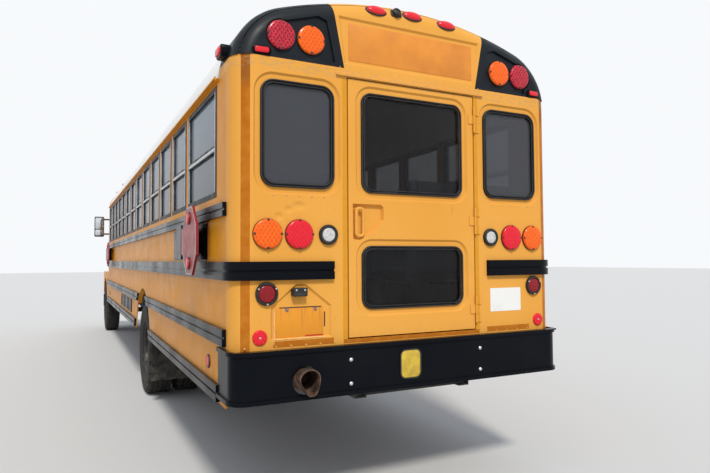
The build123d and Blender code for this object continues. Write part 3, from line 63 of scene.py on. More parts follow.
def wired(tree, kind, values, **options):
    node = tree.nodes.new("ShaderNode" + kind)
    for option, value in options.items():
        setattr(node, option, value)
    connect(tree, node, values)
    return node


def combined(tree, kind, *values):
    return wired(tree, "Math", dict(enumerate(values)), operation=kind).outputs[0]


def tinted(tree, factor, first, second):
    # a mix of two colours, each a constant or an earlier result; 6 and 7 are the node's colour sockets
    return wired(tree, "Mix", {0: factor, 6: first, 7: second}, data_type="RGBA").outputs[2]


def ranged(tree, value, fromLow, fromHigh, toLow=0.0, toHigh=1.0, **options):
    ends = {"From Min": fromLow, "From Max": fromHigh, "To Min": toLow, "To Max": toHigh}
    return wired(tree, "MapRange", {"Value": value, **ends}, **options).outputs["Result"]


def stretched(tree, coords, scale, shift=(0, 0, 0), turn=(0, 0, 0)):
    values = {"Vector": coords, "Scale": scale, "Location": shift, "Rotation": turn}
    return wired(tree, "Mapping", values).outputs["Vector"]


def noise(tree, coords, scale, detail=4.0, rough=0.55):
    values = {"Vector": coords, "Scale": scale, "Detail": detail, "Roughness": rough}
    return wired(tree, "TexNoise", values).outputs["Fac"]


def bumped(tree, shader, height, strength, distance, coat=False):
    relief = wired(tree, "Bump", {"Height": height, "Strength": strength, "Distance": distance})
    for socket in ("Normal", "Coat Normal") if coat else ("Normal",):
        connect(tree, shader, {socket: relief.outputs["Normal"]})


def axes(tree, coords):
    return wired(tree, "SeparateXYZ", {0: coords}).outputs


def near(tree, value, centre, reach):
    # one within the reach of the centre, and none beyond it
    return combined(tree, "COMPARE", value, centre, reach)


def times(tree, first, second):
    return combined(tree, "MULTIPLY", first, second)


def patchy(tree, coords, scale, detail, ends, rough=0.55):
    # a noise, read in one range and given out in another
    return ranged(tree, noise(tree, coords, scale, detail, rough), *ends)


# view and light
cameraSetup = {
    "place": (2.0273, 9.1008, 1.55),
    "turn": 26.668,
    "rise": 2.296,
    "roll": -0.324,
    "lens": 29.296,
    "sensor": 36,
    "clip": (0.05, 400),
}
lightSetup = {
    "sunPlace": (0, 0, 12),
    "sunTurn": (44, 0, 166),
    "sunStrength": 2.5,
    "sunSoftness": 9,
    "sunColour": (1, 0.96, 0.89),
    "skyColour": (0.84, 0.90, 1.0),
    "skyStrength": 0.75,
    "backdrop": (0.93, 0.95, 0.97),
    "floorColour": (0.60, 0.595, 0.585),
    "floorRough": 0.9,
    "floorSize": 160,
    "floorDrop": 0.001,
}


def makeCamera(setup):
    bpy.ops.object.camera_add(location=setup["place"])
    camera = bpy.context.object
    camera.name = "photoCamera"
    # a camera looks along -Z: raised to the horizon, turned, and rolled about its own line of sight
    turned = Matrix.Rotation(math.pi - math.radians(setup["turn"]), 3, "Z")
    raised = Matrix.Rotation(math.pi / 2 + math.radians(setup["rise"]), 3, "X")
    rolled = Matrix.Rotation(math.radians(setup["roll"]), 3, "Z")
    camera.rotation_euler = (turned @ raised @ rolled).to_euler()
    camera.data.sensor_width = setup["sensor"]
    camera.data.lens = setup["lens"]
    camera.data.clip_start, camera.data.clip_end = setup["clip"]
    bpy.context.scene.camera = camera


def makeLight(setup):
    scene = bpy.context.scene
    scene.view_settings.view_transform = "Standard"
    turn = [math.radians(angle) for angle in setup["sunTurn"]]
    bpy.ops.object.light_add(type="SUN", location=setup["sunPlace"], rotation=turn)
    sun = bpy.context.object
    sun.name = "softSun"
    sun.data.energy = setup["sunStrength"]
    sun.data.angle = math.radians(setup["sunSoftness"])
    sun.data.color = setup["sunColour"]
    world = bpy.data.worlds.new("paleSky")
    world.use_nodes = True
    scene.world = world
    tree = world.node_tree
    tree.nodes.clear()
    # camera, glossy and transmission rays see the plain backdrop, and all others the sky that lights the bus
    path = wired(tree, "LightPath", {}).outputs
    seenRays = combined(tree, "MAXIMUM", path["Is Camera Ray"], path["Is Glossy Ray"])
    seenRays = combined(tree, "MAXIMUM", seenRays, path["Is Transmission Ray"])
    sky = wired(tree, "Background", {"Color": setup["skyColour"], "Strength": setup["skyStrength"]})
    seen = wired(tree, "Background", {"Color": setup["backdrop"]})
    mix = wired(tree, "MixShader", {0: seenRays, 1: sky.outputs[0], 2: seen.outputs[0]})
    wired(tree, "OutputWorld", {0: mix.outputs[0]})


# modelling by hand: every piece starts from a primitive and is shaped in edit mode
def letGo():
    if bpy.context.object and bpy.context.object.mode != "OBJECT":
        bpy.ops.object.mode_set(mode="OBJECT")
    bpy.ops.object.select_all(action="DESELECT")


def pick(piece):
    letGo()
    piece.select_set(True)
    bpy.context.view_layer.objects.active = piece


def settle(piece):
    # the place, turn and size go into the mesh
    pick(piece)
    bpy.ops.object.transform_apply(location=True, rotation=True, scale=True)
    return piece


def applyAll(piece):
    pick(piece)
    for modifier in list(piece.modifiers):
        bpy.ops.object.modifier_apply(modifier=modifier.name)
    return piece


def editing(piece, mode="VERT", action="DESELECT"):
    pick(piece)
    bpy.ops.object.mode_set(mode="EDIT")
    bpy.ops.mesh.select_mode(type=mode)
    bpy.ops.mesh.select_all(action=action)


def finished():
    bpy.ops.object.mode_set(mode="OBJECT")


def choose(piece, kind, test):
    # selects the edges or faces whose middle passes the test, and stays in edit mode
    finished()
    mesh = piece.data
    for element in getattr(mesh, kind):
        if kind == "edges":
            middle = (mesh.vertices[element.vertices[0]].co + mesh.vertices[element.vertices[1]].co) / 2
        else:
            middle = element.center
        element.select = bool(test(middle, element))
    bpy.ops.object.mode_set(mode="EDIT")


def smoothed(piece, angle=35):
    pick(piece)
    bpy.ops.object.shade_smooth_by_angle(angle=math.radians(angle))
    return piece


def closedOutward(piece):
    editing(piece, action="SELECT")
    bpy.ops.mesh.remove_doubles(threshold=0.00001)
    bpy.ops.mesh.normals_make_consistent(inside=False)
    finished()
    return piece


def moved(piece, *moves):
    # the mesh itself is moved by the product of some matrices and places
    whole = Matrix()
    for move in moves:
        whole = whole @ (move if isinstance(move, Matrix) else Matrix.Translation(move))
    piece.data.transform(whole)
    return piece


def turnAbout(degrees, axis):
    return Matrix.Rotation(math.radians(degrees), 4, axis)


def seated(piece, centre, facing):
    # a piece made flat round the origin is set at its place, with its front to the side that it faces
    outward = Vector(facing).normalized()
    right = Vector((0, 0, 1)).cross(outward).normalized()
    turn = Matrix((right, outward.cross(right), outward)).transposed().to_4x4()
    return moved(piece, centre, turn)


def named(name):
    piece = bpy.context.object
    piece.name = piece.data.name = name
    return piece


def block(name, low, high, bevel=0.003, segments=2):
    letGo()
    middle = [(a + b) / 2 for a, b in zip(low, high)]
    size = [b - a for a, b in zip(low, high)]
    bpy.ops.mesh.primitive_cube_add(size=1, location=middle, scale=size)
    piece = settle(named(name))
    editing(piece, "EDGE", "SELECT")
    bpy.ops.mesh.bevel(offset=bevel, segments=segments, affect="EDGES")
    finished()
    return smoothed(piece)


def turned(name, profile, centre, facing, steps=32):
    # the profile is (radius, height) pairs round a closed outline, spun about the line that faces out
    letGo()
    bpy.ops.mesh.primitive_circle_add(vertices=len(profile), fill_type="NOTHING")
    piece = named(name)
    for vertex, (radius, height) in zip(piece.data.vertices, profile):
        vertex.co = (radius, 0, height)
    editing(piece, action="SELECT")
    bpy.ops.mesh.spin(steps=steps, angle=2 * math.pi, center=(0, 0, 0), axis=(0, 0, 1))
    finished()
    closedOutward(piece)
    piece.rotation_euler = Vector((0, 0, 1)).rotation_difference(Vector(facing)).to_euler()
    piece.location = centre
    return smoothed(settle(piece))


def roundPlane(name, size, corner, segments):
    # a flat sheet with its four corners rounded, left in edit mode with all of it selected
    letGo()
    bpy.ops.mesh.primitive_plane_add(size=1)
    piece = named(name)
    piece.scale = (size[0], size[1], 1)
    settle(piece)
    editing(piece, action="SELECT")
    bpy.ops.mesh.bevel(offset=corner, segments=segments, affect="VERTICES")
    bpy.ops.mesh.select_all(action="SELECT")
    return piece


def roundPlate(name, size, corner, thick):
    piece = roundPlane(name, size, corner, 5)
    bpy.ops.mesh.extrude_region_move(TRANSFORM_OT_translate={"value": (0, 0, thick)})
    finished()
    return closedOutward(piece)


def rounded(name, size, corner, thick, centre, facing, bevel=0.002):
    # a flat plate with round corners: size is its width and height, seen from the side that it faces
    piece = roundPlate(name, size, corner, thick)
    if bevel:
        editing(piece, "EDGE")
        choose(piece, "edges", lambda middle, edge: middle.z > thick * 0.9)
        bpy.ops.mesh.bevel(offset=bevel, segments=2, affect="EDGES")
        finished()
    return smoothed(seated(piece, centre, facing))


def ringed(name, size, corner, width, thick, centre, facing):
    # a frame with round corners, open in the middle
    piece = roundPlate(name, size, corner, thick)
    editing(piece, "FACE")
    choose(piece, "polygons", lambda middle, face: abs(face.normal.z) > 0.9)
    bpy.ops.mesh.inset(thickness=width, depth=0)
    bpy.ops.mesh.bridge_edge_loops()
    finished()
    return smoothed(seated(closedOutward(piece), centre, facing))


def copied(piece, move=(0, 0, 0), flip=False):
    # a copy with a mesh of its own, moved, or mirrored across x
    twin = piece.copy()
    twin.data = piece.data.copy()
    bpy.context.scene.collection.objects.link(twin)
    if flip:
        moved(twin, Matrix.Diagonal((-1, 1, 1, 1)))
        twin.data.flip_normals()
    return moved(twin, move)


def joined(name, pieces):
    letGo()
    for piece in pieces:
        piece.select_set(True)
    bpy.context.view_layer.objects.active = pieces[0]
    if len(pieces) > 1:
        bpy.ops.object.join()
    return named(name)


def mirrored(name, pieces):
    return joined(name, pieces + [copied(piece, flip=True) for piece in pieces])


def arrayed(piece, count, step):
    row = piece.modifiers.new("row", "ARRAY")
    row.count = count
    row.use_relative_offset = False
    row.use_constant_offset = True
    row.constant_offset_displace = step
    return applyAll(piece)


def dress(piece, finish, body="bus_body"):
    piece.data.materials.clear()
    piece.data.materials.append(finishes[finish])
    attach(piece, body)
    return piece


rivet = {"radius": 0.0065, "rise": 0.0035, "sides": 6, "crown": 0.45, "sunk": 0.3}


def rivetRow(start, end, pitch, facing, size=1.0):
    # one low dome, repeated along the line from start to end
    start, end = Vector(start), Vector(end)
    count = max(int(round((end - start).length / pitch)) + 1, 1)
    radius, rise = rivet["radius"] * size, rivet["rise"] * size
    letGo()
    bpy.ops.mesh.primitive_cone_add(
        vertices=rivet["sides"], radius1=radius, radius2=radius * rivet["crown"], depth=rise,
    )
    head = bpy.context.object
    head.rotation_euler = Vector((0, 0, 1)).rotation_difference(Vector(facing)).to_euler()
    head.location = start + Vector(facing) * (rise * rivet["sunk"])
    settle(head)
    if count > 1:
        arrayed(head, count, (end - start) / (count - 1))
    return smoothed(head, 60)


makeCamera(cameraSetup)
makeLight(lightSetup)
letGo()
floorPlace = (0, 0, -lightSetup["floorDrop"])
bpy.ops.mesh.primitive_plane_add(size=lightSetup["floorSize"], location=floorPlace)
floorPlane = bpy.context.object
floorPlane.name = "paleFloor"
floorFinish = bpy.data.materials.new("paleFloor")
floorFinish.use_nodes = True
floorTree = floorFinish.node_tree
floorLook = {"Base Color": lightSetup["floorColour"], "Roughness": lightSetup["floorRough"]}
connect(floorTree, floorTree.nodes["Principled BSDF"], floorLook)
floorPlane.data.materials.append(floorFinish)
print("stage: camera, light and floor")

# finishes: every one is worked out from the object's own coordinates
glossSockets = {
    "metal": "Metallic",
    "coat": "Coat Weight",
    "spec": "Specular IOR Level",
    "tint": "Specular Tint",
}


def startFinish(name, colour, rough, **gloss):
    finish = bpy.data.materials.new(name)
    finish.use_nodes = True
    tree = finish.node_tree
    shader = tree.nodes["Principled BSDF"]
    connect(tree, shader, {"Base Color": colour, "Roughness": rough, "Coat Roughness": 0.05})
    connect(tree, shader, {glossSockets[key]: value for key, value in gloss.items()})
    return finish, tree, shader, wired(tree, "TexCoord", {}).outputs["Object"]


# a noise's columns: scale, detail, the range that it is read in and the range that it gives, roughness
bodyPaint = {
    # the rear's yellow is a paler copy painted as sunlit, and the flanks' yellow is a deeper copy painted as
    # in shade; each pair is a main colour and the second colour of its fade
    "sunlitRearYellow": ((0.74, 0.355, 0.070), (0.66, 0.280, 0.038)),
    "shadedFlankYellow": ((0.70, 0.280, 0.018), (0.61, 0.225, 0.012)),
    "rough": 0.36,
    "spec": 0.07,
    # the warm tint of the gloss is a painted reflection of yellow paint nearby
    "tint": (1.0, 0.60, 0.26),
    "fade": (1.3, 3, (0.35, 0.75, 0, 0.5)),
    "dust": (0.30, 0.155, 0.055),
    "streak": (3.0, 5, (0.38, 0.7)),
    "streakStretch": (9, 9, 0.7),
    "filmHeights": (1.15, 0.62),
    "filmShare": 0.7,
    "speck": (38, 6, (0.62, 0.75)),
    "speckShare": 0.16,
    "uneven": (5, 5, (0.3, 0.75, 0.26, 0.46)),
    "ripple": (2.2, 2),
    "rippleDepth": 0.0030,
}
# what only the rear has: a band is the middle and reach of a coordinate
rearMarks = {
    "from": (5.80, 5.81),
    "tape": (0.42, 0.125, 0.010),
    "sideTape": (1.12, 0.024),
    "lowTape": (1.067, 0.018),
    "lowTapeX": (0.77, 0.19),
    "sillTape": (1.057, 0.013),
    "sillTapeX": (0, 0.515),
    "tapeWear": (16, 5, (0.3, 0.62, 0.78, 1)),
    "rust": (0.16, 0.055, 0.018),
    "rustHeights": (2.52, 2.60, 0, 0.55),
    "doorTape": (0.62, 0.27, 0.022),
    "doorTapeX": (0.500, 0.018),
    "doorTapeZ": (1.87, 0.80),
    "scuff": (0.40, 0.30, 0.17),
    "scuffBand": (2.690, 0.030),
    "peel": (26, 6, (0.46, 0.62, 0, 0.42), 0.62),
    "peelStretch": (1, 1, 2.6),
    "chips": (95, 3, (0.73, 0.77, 0, 0.7)),
    # columns: across, height, reach across, reach up, depth
    "dents": (
        (0.80, 1.868, 0.060, 0.035, 0.006),
        (0.865, 1.845, 0.040, 0.030, 0.005),
        (0.925, 1.802, 0.040, 0.034, 0.005),
        (-0.303, 1.865, 0.020, 0.062, 0.005),
        (-0.43, 1.45, 0.09, 0.12, 0.004),
        (0.60, 1.49, 0.10, 0.06, 0.004),
    ),
}


def dented(tree, coords, dent):
    # a smooth hollow of a few millimetres in a rear panel
    across, height, reachAcross, reachUp, depth = dent
    scale = (1 / reachAcross, 0, 1 / reachUp)
    around = stretched(tree, coords, scale, (-across / reachAcross, 0, -height / reachUp))
    length = wired(tree, "VectorMath", {0: around}, operation="LENGTH").outputs["Value"]
    return ranged(tree, length, 0, 1, -depth, 0, interpolation_type="SMOOTHERSTEP")


def marked(tree, coords, colour, outward, height, back):
    # reflective tape at the sides, along the foot and round the door, rust over it, scuffs and chips
    marks = rearMarks
    side = times(tree, near(tree, outward, *marks["sideTape"]), back)
    flank = times(tree, near(tree, height, *marks["lowTape"]), near(tree, outward, *marks["lowTapeX"]))
    sill = times(tree, near(tree, height, *marks["sillTape"]), near(tree, outward, *marks["sillTapeX"]))
    worn = patchy(tree, coords, *marks["tapeWear"])
    strips = combined(tree, "MAXIMUM", side, combined(tree, "MAXIMUM", flank, sill))
    colour = tinted(tree, times(tree, strips, worn), colour, marks["tape"])
    rusty = times(tree, side, ranged(tree, height, *marks["rustHeights"]))
    colour = tinted(tree, rusty, colour, marks["rust"])
    door = times(tree, near(tree, outward, *marks["doorTapeX"]), near(tree, height, *marks["doorTapeZ"]))
    colour = tinted(tree, times(tree, door, worn), colour, marks["doorTape"])
    peel = patchy(tree, stretched(tree, coords, marks["peelStretch"]), *marks["peel"])
    band = times(tree, near(tree, height, *marks["scuffBand"]), back)
    colour = tinted(tree, times(tree, band, peel), colour, marks["scuff"])
    chips = patchy(tree, coords, *marks["chips"])
    return tinted(tree, times(tree, chips, back), colour, marks["rust"])


def yellowFinish(name, rear):
    # school bus yellow with a faint fade, a film and streaks of road dust low down, and specks; the rear's
    # copy is paler, painted as sunlit, the flanks' copy is deeper, painted as in shade, and a warm tint in
    # the gloss is a painted reflection
    setup = bodyPaint
    main, shade = setup["sunlitRearYellow" if rear else "shadedFlankYellow"]
    finish, tree, shader, coords = startFinish(
        name, main, setup["rough"], spec=setup["spec"], tint=setup["tint"],
    )
    across, along, height = axes(tree, coords)
    colour = tinted(tree, patchy(tree, coords, *setup["fade"]), main, shade)
    streak = patchy(tree, stretched(tree, coords, setup["streakStretch"]), *setup["streak"])
    low = times(tree, ranged(tree, height, *setup["filmHeights"]), setup["filmShare"])
    speck = times(tree, patchy(tree, coords, *setup["speck"]), setup["speckShare"])
    dusty = combined(tree, "MAXIMUM", times(tree, streak, low), speck)
    colour = tinted(tree, dusty, colour, setup["dust"])
    ripple = times(tree, noise(tree, coords, *setup["ripple"]), setup["rippleDepth"])
    if rear:
        outward = combined(tree, "ABSOLUTE", across)
        colour = marked(tree, coords, colour, outward, height, ranged(tree, along, *rearMarks["from"]))
        for dent in rearMarks["dents"]:
            ripple = combined(tree, "ADD", ripple, dented(tree, coords, dent))
    connect(tree, shader, {"Base Color": colour, "Roughness": patchy(tree, coords, *setup["uneven"])})
    bumped(tree, shader, ripple, 1, 1, coat=True)
    return finish


roadFilm = {"heights": (1.1, 0.2), "noise": (5, (0.3, 0.7)), "colour": (0.30, 0.26, 0.21)}


def wornFinish(name, colour, second, rough, scale, spread, grain=None, dust=0.0, **gloss):
    # a main colour that drifts to a second one, uneven gloss, road film low down and a fine grain
    finish, tree, shader, coords = startFinish(name, colour, rough, **gloss)
    mixed = tinted(tree, patchy(tree, coords, scale, 6, spread, 0.6), colour, second)
    if dust:
        film = times(tree, ranged(tree, axes(tree, coords)[2], *roadFilm["heights"]), dust)
        film = times(tree, film, patchy(tree, coords, scale * 2, *roadFilm["noise"]))
        mixed = tinted(tree, film, mixed, roadFilm["colour"])
    ends = (0.3, 0.75, max(rough - 0.08, 0.03), min(rough + 0.14, 1))
    connect(tree, shader, {"Base Color": mixed, "Roughness": patchy(tree, coords, scale * 1.7, 4, ends)})
    if grain:
        size, strength, depth = grain
        bumped(tree, shader, noise(tree, coords, size, 3), strength, depth)
    return finish


def glassFinish(name, colour, alpha, rough, zones=()):
    # tinted glass with faint smears, in zones outward from the middle with a colour and cover of their own;
    # on the side windows that colour grows pale blue towards the head, a painted reflection of the sky
    finish, tree, shader, coords = startFinish(name, colour, rough, spec=0.34)
    finish.blend_method = "BLEND"
    smear = noise(tree, stretched(tree, coords, (2, 2, 0.6)), 4, 5)
    paler = tuple(channel + 0.02 for channel in colour)
    shown = tinted(tree, ranged(tree, smear, 0.45, 0.8, 0, 0.6), colour, paler)
    clear = ranged(tree, smear, 0.4, 0.8, alpha, min(alpha + 0.06, 1))
    across, along, height = axes(tree, coords)
    outward = combined(tree, "ABSOLUTE", across)
    for starts, low, high, cover in zones:
        share = ranged(tree, outward, *starts)
        # a zone's colour runs from a pane's foot to its head; on the side windows this is a painted
        # reflection of the sky
        shown = tinted(tree, share, shown, tinted(tree, ranged(tree, height, 2.0, 2.62), low, high))
        clear = combined(tree, "MAXIMUM", clear, times(tree, share, cover))
    uneven = ranged(tree, smear, 0.4, 0.8, rough, rough + 0.05)
    connect(tree, shader, {"Base Color": shown, "Alpha": clear, "Roughness": uneven})
    return finish


def lensFinish(name, colour, deep, pitch, share, glow=0.0, dot=(0.50, 0.22)):
    # moulded plastic: staggered dots that darken it by a share, and a fine prism grain
    finish, tree, shader, coords = startFinish(name, colour, 0.24, coat=0.10, spec=0.3)
    diagonal = math.sqrt(0.5)
    scale = (diagonal / pitch[0] * 2, 0, diagonal / pitch[1])
    staggered = stretched(tree, coords, scale, turn=(0, math.pi / 4, 0))
    cells = wired(tree, "TexVoronoi", {"Vector": staggered, "Scale": 1, "Randomness": 0}).outputs["Distance"]
    grain = patchy(tree, coords, 70, 3, (0.40, 0.66, 0, share * 0.8))
    dark = combined(tree, "MAXIMUM", ranged(tree, cells, *dot, 0, share), grain)
    connect(tree, shader, {"Base Color": tinted(tree, dark, colour, deep)})
    if glow:
        connect(tree, shader, {"Emission Color": colour, "Emission Strength": glow})
    bumped(tree, shader, cells, 0.10, 0.002)
    return finish


platePatch = {
    "ochre": (0.70, 0.27, 0.016),
    "rust": (0.30, 0.10, 0.03),
    "runStretch": (42, 1, 3),
    "runHeights": (1.13, 1.272, 0.04, 0.85),
    "red": (0.50, 0.045, 0.016),
    "redZ": (1.105, 0.006),
    "redX": (0.70, 0.06),
}


def plateFinish(name):
    # the ochre patch where a plate hung: rust runs down from its bolts, with a red rest along its foot
    patch = platePatch
    finish, tree, shader, coords = startFinish(name, patch["ochre"], 0.42, coat=0.1, spec=0.3)
    across, along, height = axes(tree, coords)
    runs = noise(tree, stretched(tree, coords, patch["runStretch"]), 1.0, 4)
    fall = ranged(tree, height, *patch["runHeights"])
    streaks = times(tree, ranged(tree, runs, 0.50, 0.68, 0, 0.8), fall)
    colour = tinted(tree, streaks, patch["ochre"], patch["rust"])
    foot = times(tree, near(tree, height, *patch["redZ"]), near(tree, across, *patch["redX"]))
    uneven = ranged(tree, runs, 0.3, 0.7, 0.36, 0.6)
    connect(tree, shader, {"Base Color": tinted(tree, foot, colour, patch["red"]), "Roughness": uneven})
    bumped(tree, shader, runs, 0.15, 0.002)
    return finish


# columns: main colour, second colour, roughness, scale of the patches, their range, and what else is set
wornRows = {
    "roof_white": (
        (0.80, 0.80, 0.78), (0.73, 0.72, 0.69), 0.38, 1.6, (0.45, 0.8),
        {"coat": 0.3, "grain": (40, 0.03, 0.002)},
    ),
    "black_gloss": (
        (0.004, 0.005, 0.007), (0.007, 0.008, 0.010), 0.22, 1.5, (0.5, 0.8),
        {"coat": 0.01, "grain": (30, 0.03, 0.002), "spec": 0.10, "tint": (0.45, 0.47, 0.55)},
    ),
    "cap_black": (
        (0.006, 0.009, 0.013), (0.014, 0.018, 0.023), 0.42, 5, (0.45, 0.8),
        {"grain": (260, 0.08, 0.001), "spec": 0.16},
    ),
    "chassis_black": (
        (0.008, 0.008, 0.009), (0.022, 0.019, 0.016), 0.5, 9, (0.5, 0.8),
        {"grain": (60, 0.15, 0.002), "dust": 0.28, "spec": 0.3},
    ),
    "rim_paint": (
        (0.012, 0.012, 0.013), (0.06, 0.042, 0.03), 0.42, 12, (0.55, 0.8),
        {"grain": (80, 0.2, 0.001), "dust": 0.3, "spec": 0.3},
    ),
    "engine_iron": (
        (0.08, 0.08, 0.085), (0.16, 0.11, 0.08), 0.6, 10, (0.4, 0.7),
        {"metal": 0.6, "grain": (70, 0.4, 0.003)},
    ),
    "exhaust_rust": (
        (0.17, 0.095, 0.058), (0.040, 0.026, 0.020), 0.75, 16, (0.38, 0.62),
        {"metal": 0.25, "grain": (120, 0.6, 0.002)},
    ),
    "tyre_rubber": (
        (0.011, 0.011, 0.012), (0.026, 0.024, 0.022), 0.75, 14, (0.5, 0.85),
        {"grain": (140, 0.4, 0.002), "dust": 0.16, "spec": 0.25},
    ),
    "flap_rubber": (
        (0.013, 0.013, 0.013), (0.035, 0.031, 0.027), 0.7, 8, (0.45, 0.8),
        {"grain": (90, 0.3, 0.002), "dust": 0.35, "spec": 0.25},
    ),
    "frame_black": (
        (0.012, 0.012, 0.013), (0.028, 0.028, 0.030), 0.4, 12, (0.5, 0.8),
        {"grain": (80, 0.1, 0.001), "spec": 0.10},
    ),
    "floor_grey": (
        (0.06, 0.06, 0.065), (0.14, 0.13, 0.12), 0.7, 7, (0.4, 0.7), {"grain": (200, 0.4, 0.002)},
    ),
    "trim_plastic": (
        (0.035, 0.036, 0.04), (0.07, 0.07, 0.075), 0.55, 15, (0.45, 0.75), {"grain": (260, 0.3, 0.001)},
    ),
    "grille_plastic": (
        (0.02, 0.02, 0.022), (0.06, 0.06, 0.06), 0.4, 10, (0.5, 0.8), {"grain": (150, 0.2, 0.001)},
    ),
    "seat_vinyl": (
        (0.02, 0.026, 0.05), (0.045, 0.05, 0.075), 0.5, 5, (0.4, 0.75), {"grain": (320, 0.5, 0.0015)},
    ),
    "rubber_black": (
        (0.011, 0.011, 0.012), (0.030, 0.031, 0.034), 0.46, 20, (0.5, 0.8),
        {"grain": (200, 0.1, 0.001), "spec": 0.4},
    ),
    "dark_screw": ((0.03, 0.012, 0.01), (0.09, 0.05, 0.04), 0.55, 60, (0.4, 0.7), {"metal": 0.3}),
    "bright_bolt": ((0.62, 0.62, 0.60), (0.38, 0.36, 0.33), 0.28, 60, (0.5, 0.8), {"metal": 0.9}),
    "aluminium": (
        (0.56, 0.57, 0.58), (0.40, 0.41, 0.42), 0.36, 14, (0.45, 0.75),
        {"metal": 0.85, "grain": (220, 0.1, 0.001)},
    ),
    "wheel_nut": (
        (0.10, 0.085, 0.07), (0.20, 0.11, 0.06), 0.5, 90, (0.4, 0.7), {"metal": 0.7, "dust": 0.4},
    ),
    "mirror_glass": ((0.72, 0.74, 0.76), (0.62, 0.64, 0.66), 0.04, 20, (0.5, 0.85), {"metal": 1.0}),
    "rusty_steel": ((0.20, 0.075, 0.03), (0.36, 0.33, 0.30), 0.7, 90, (0.4, 0.6), {"metal": 0.4}),
    "rivet_yellow": ((0.66, 0.29, 0.05), (0.36, 0.19, 0.08), 0.42, 30, (0.5, 0.8), {}),
    # pale worn paint that is also a painted highlight, for the strips on the plate recess's edges
    "chalky_yellow": ((0.86, 0.62, 0.32), (0.70, 0.36, 0.10), 0.5, 40, (0.4, 0.7), {}),
    "sign_orange": (
        (0.72, 0.255, 0.022), (0.58, 0.19, 0.018), 0.42, 5, (0.35, 0.7), {"grain": (500, 0.15, 0.0006)},
    ),
    "sign_yellow": (
        (0.62, 0.43, 0.03), (0.42, 0.28, 0.03), 0.42, 26, (0.35, 0.7),
        {"coat": 0.15, "grain": (120, 0.1, 0.001)},
    ),
    "label_white": ((0.76, 0.755, 0.73), (0.68, 0.665, 0.63), 0.45, 9, (0.5, 0.8), {}),
    "edge_white": ((0.42, 0.39, 0.38), (0.30, 0.25, 0.24), 0.45, 14, (0.45, 0.75), {}),
    "stop_red": (
        (0.30, 0.016, 0.018), (0.22, 0.016, 0.018), 0.42, 6, (0.4, 0.7), {"coat": 0.15, "spec": 0.3},
    ),
}
# columns: colour, deep colour, pitch of the dots, share that they darken, and what else is set
lensRows = {
    "red_lens": ((0.76, 0.010, 0.026), (0.36, 0.004, 0.010), (0.022, 0.016), 0.55, {"glow": 0.06}),
    "dotted_lens": (
        (0.62, 0.022, 0.045), (0.09, 0.003, 0.010), (0.024, 0.018), 0.95, {"glow": 0.06, "dot": (0.36, 0.22)},
    ),
    "stop_lens": ((0.28, 0.003, 0.010), (0.09, 0.002, 0.004), (0.018, 0.013), 0.6, {"glow": 0.02}),
    "amber_lens": ((0.92, 0.135, 0.002), (0.55, 0.062, 0.001), (0.026, 0.020), 0.75, {"glow": 0.06}),
    "clear_lens": ((0.72, 0.72, 0.70), (0.28, 0.28, 0.28), (0.013, 0.009), 0.85, {"dot": (0.42, 0.22)}),
    "lamp_red": ((0.74, 0.014, 0.026), (0.38, 0.005, 0.013), (0.012, 0.012), 0.4, {"glow": 0.04}),
}
# the rear wall's panes are paler than the door's, and the side windows bluer still, pale blue at their head
# as a painted reflection of the sky
# columns: where a zone starts, its colour at the foot and at the head of a pane, and its cover
paneZones = (
    ((0.54, 0.56), (0.070, 0.075, 0.088), (0.070, 0.075, 0.088), 0.55),
    # side windows: dark at the foot and pale blue at the head, a painted reflection of the sky
    ((1.12, 1.14), (0.075, 0.092, 0.115), (0.20, 0.26, 0.33), 0.70),
)
finishes = {
    # one yellow in two copies: painted shade for the flanks and painted sunlight for the rear
    "body_yellow": yellowFinish("shadedBodyYellow", False),
    "rear_yellow": yellowFinish("sunlitRearYellow", True),
    "tinted_glass": glassFinish("tintedGlass", (0.007, 0.007, 0.008), 0.40, 0.02, paneZones),
    "clear_glass": glassFinish("clearGlass", (0.05, 0.06, 0.06), 0.28, 0.02),
    "plate_ochre": plateFinish("plateOchre"),
}
for maker, rows in ((wornFinish, wornRows), (lensFinish, lensRows)):
    for key, (*values, options) in rows.items():
        first, *rest = key.split("_")
        finishes[key] = maker(first + "".join(word.capitalize() for word in rest), *values, **options)

# nodes whose finish isn't the one of their slot
# the rear's nodes take the paler yellow, painted as sunlit
finishOf = dict.fromkeys(("rear_wall", "rear_cap", "rear_door"), "rear_yellow")
finishOf["cap_shoulders"] = "cap_black"
for part in frame["record"]["subparts"]:
    node = nodes[part["node"]]
    node.data.materials.clear()
    node.data.materials.append(finishes[finishOf.get(part["node"], part["material_slot"])])
print("stage: finishes")

# pieces start here

# rear lamps: a moulded lens in four notches on a dark base, or a smaller one in a ring
rearPlane, rearOut = 5.930, (0, 1, 0)
sides = ((1, "Left"), (-1, "Right"))
rearLamps = {
    "rise": 0.0255,
    "smallRise": 0.012,
    "foot": 0.004,
    "baseRise": 0.009,
    "steps": 40,
    "buttonSteps": 10,
    # columns: radius at the foot, radius at the top, height of the edge, height of the middle
    "notch": (0.0075, 0.0075, 0.002, 0.0026),
    "bolt": (0.006, 0.005, 0.003, 0.004),
    "lensBolt": (0.007, 0.006, 0.002, 0.003),
    "notchAngles": (0, 90, 180, 270),
    # a ring over this radius is bolted, at these angles, and narrower
    "bolted": 0.065,
    "boltAngles": (30, 150, 270),
}
capPlane = 5.916
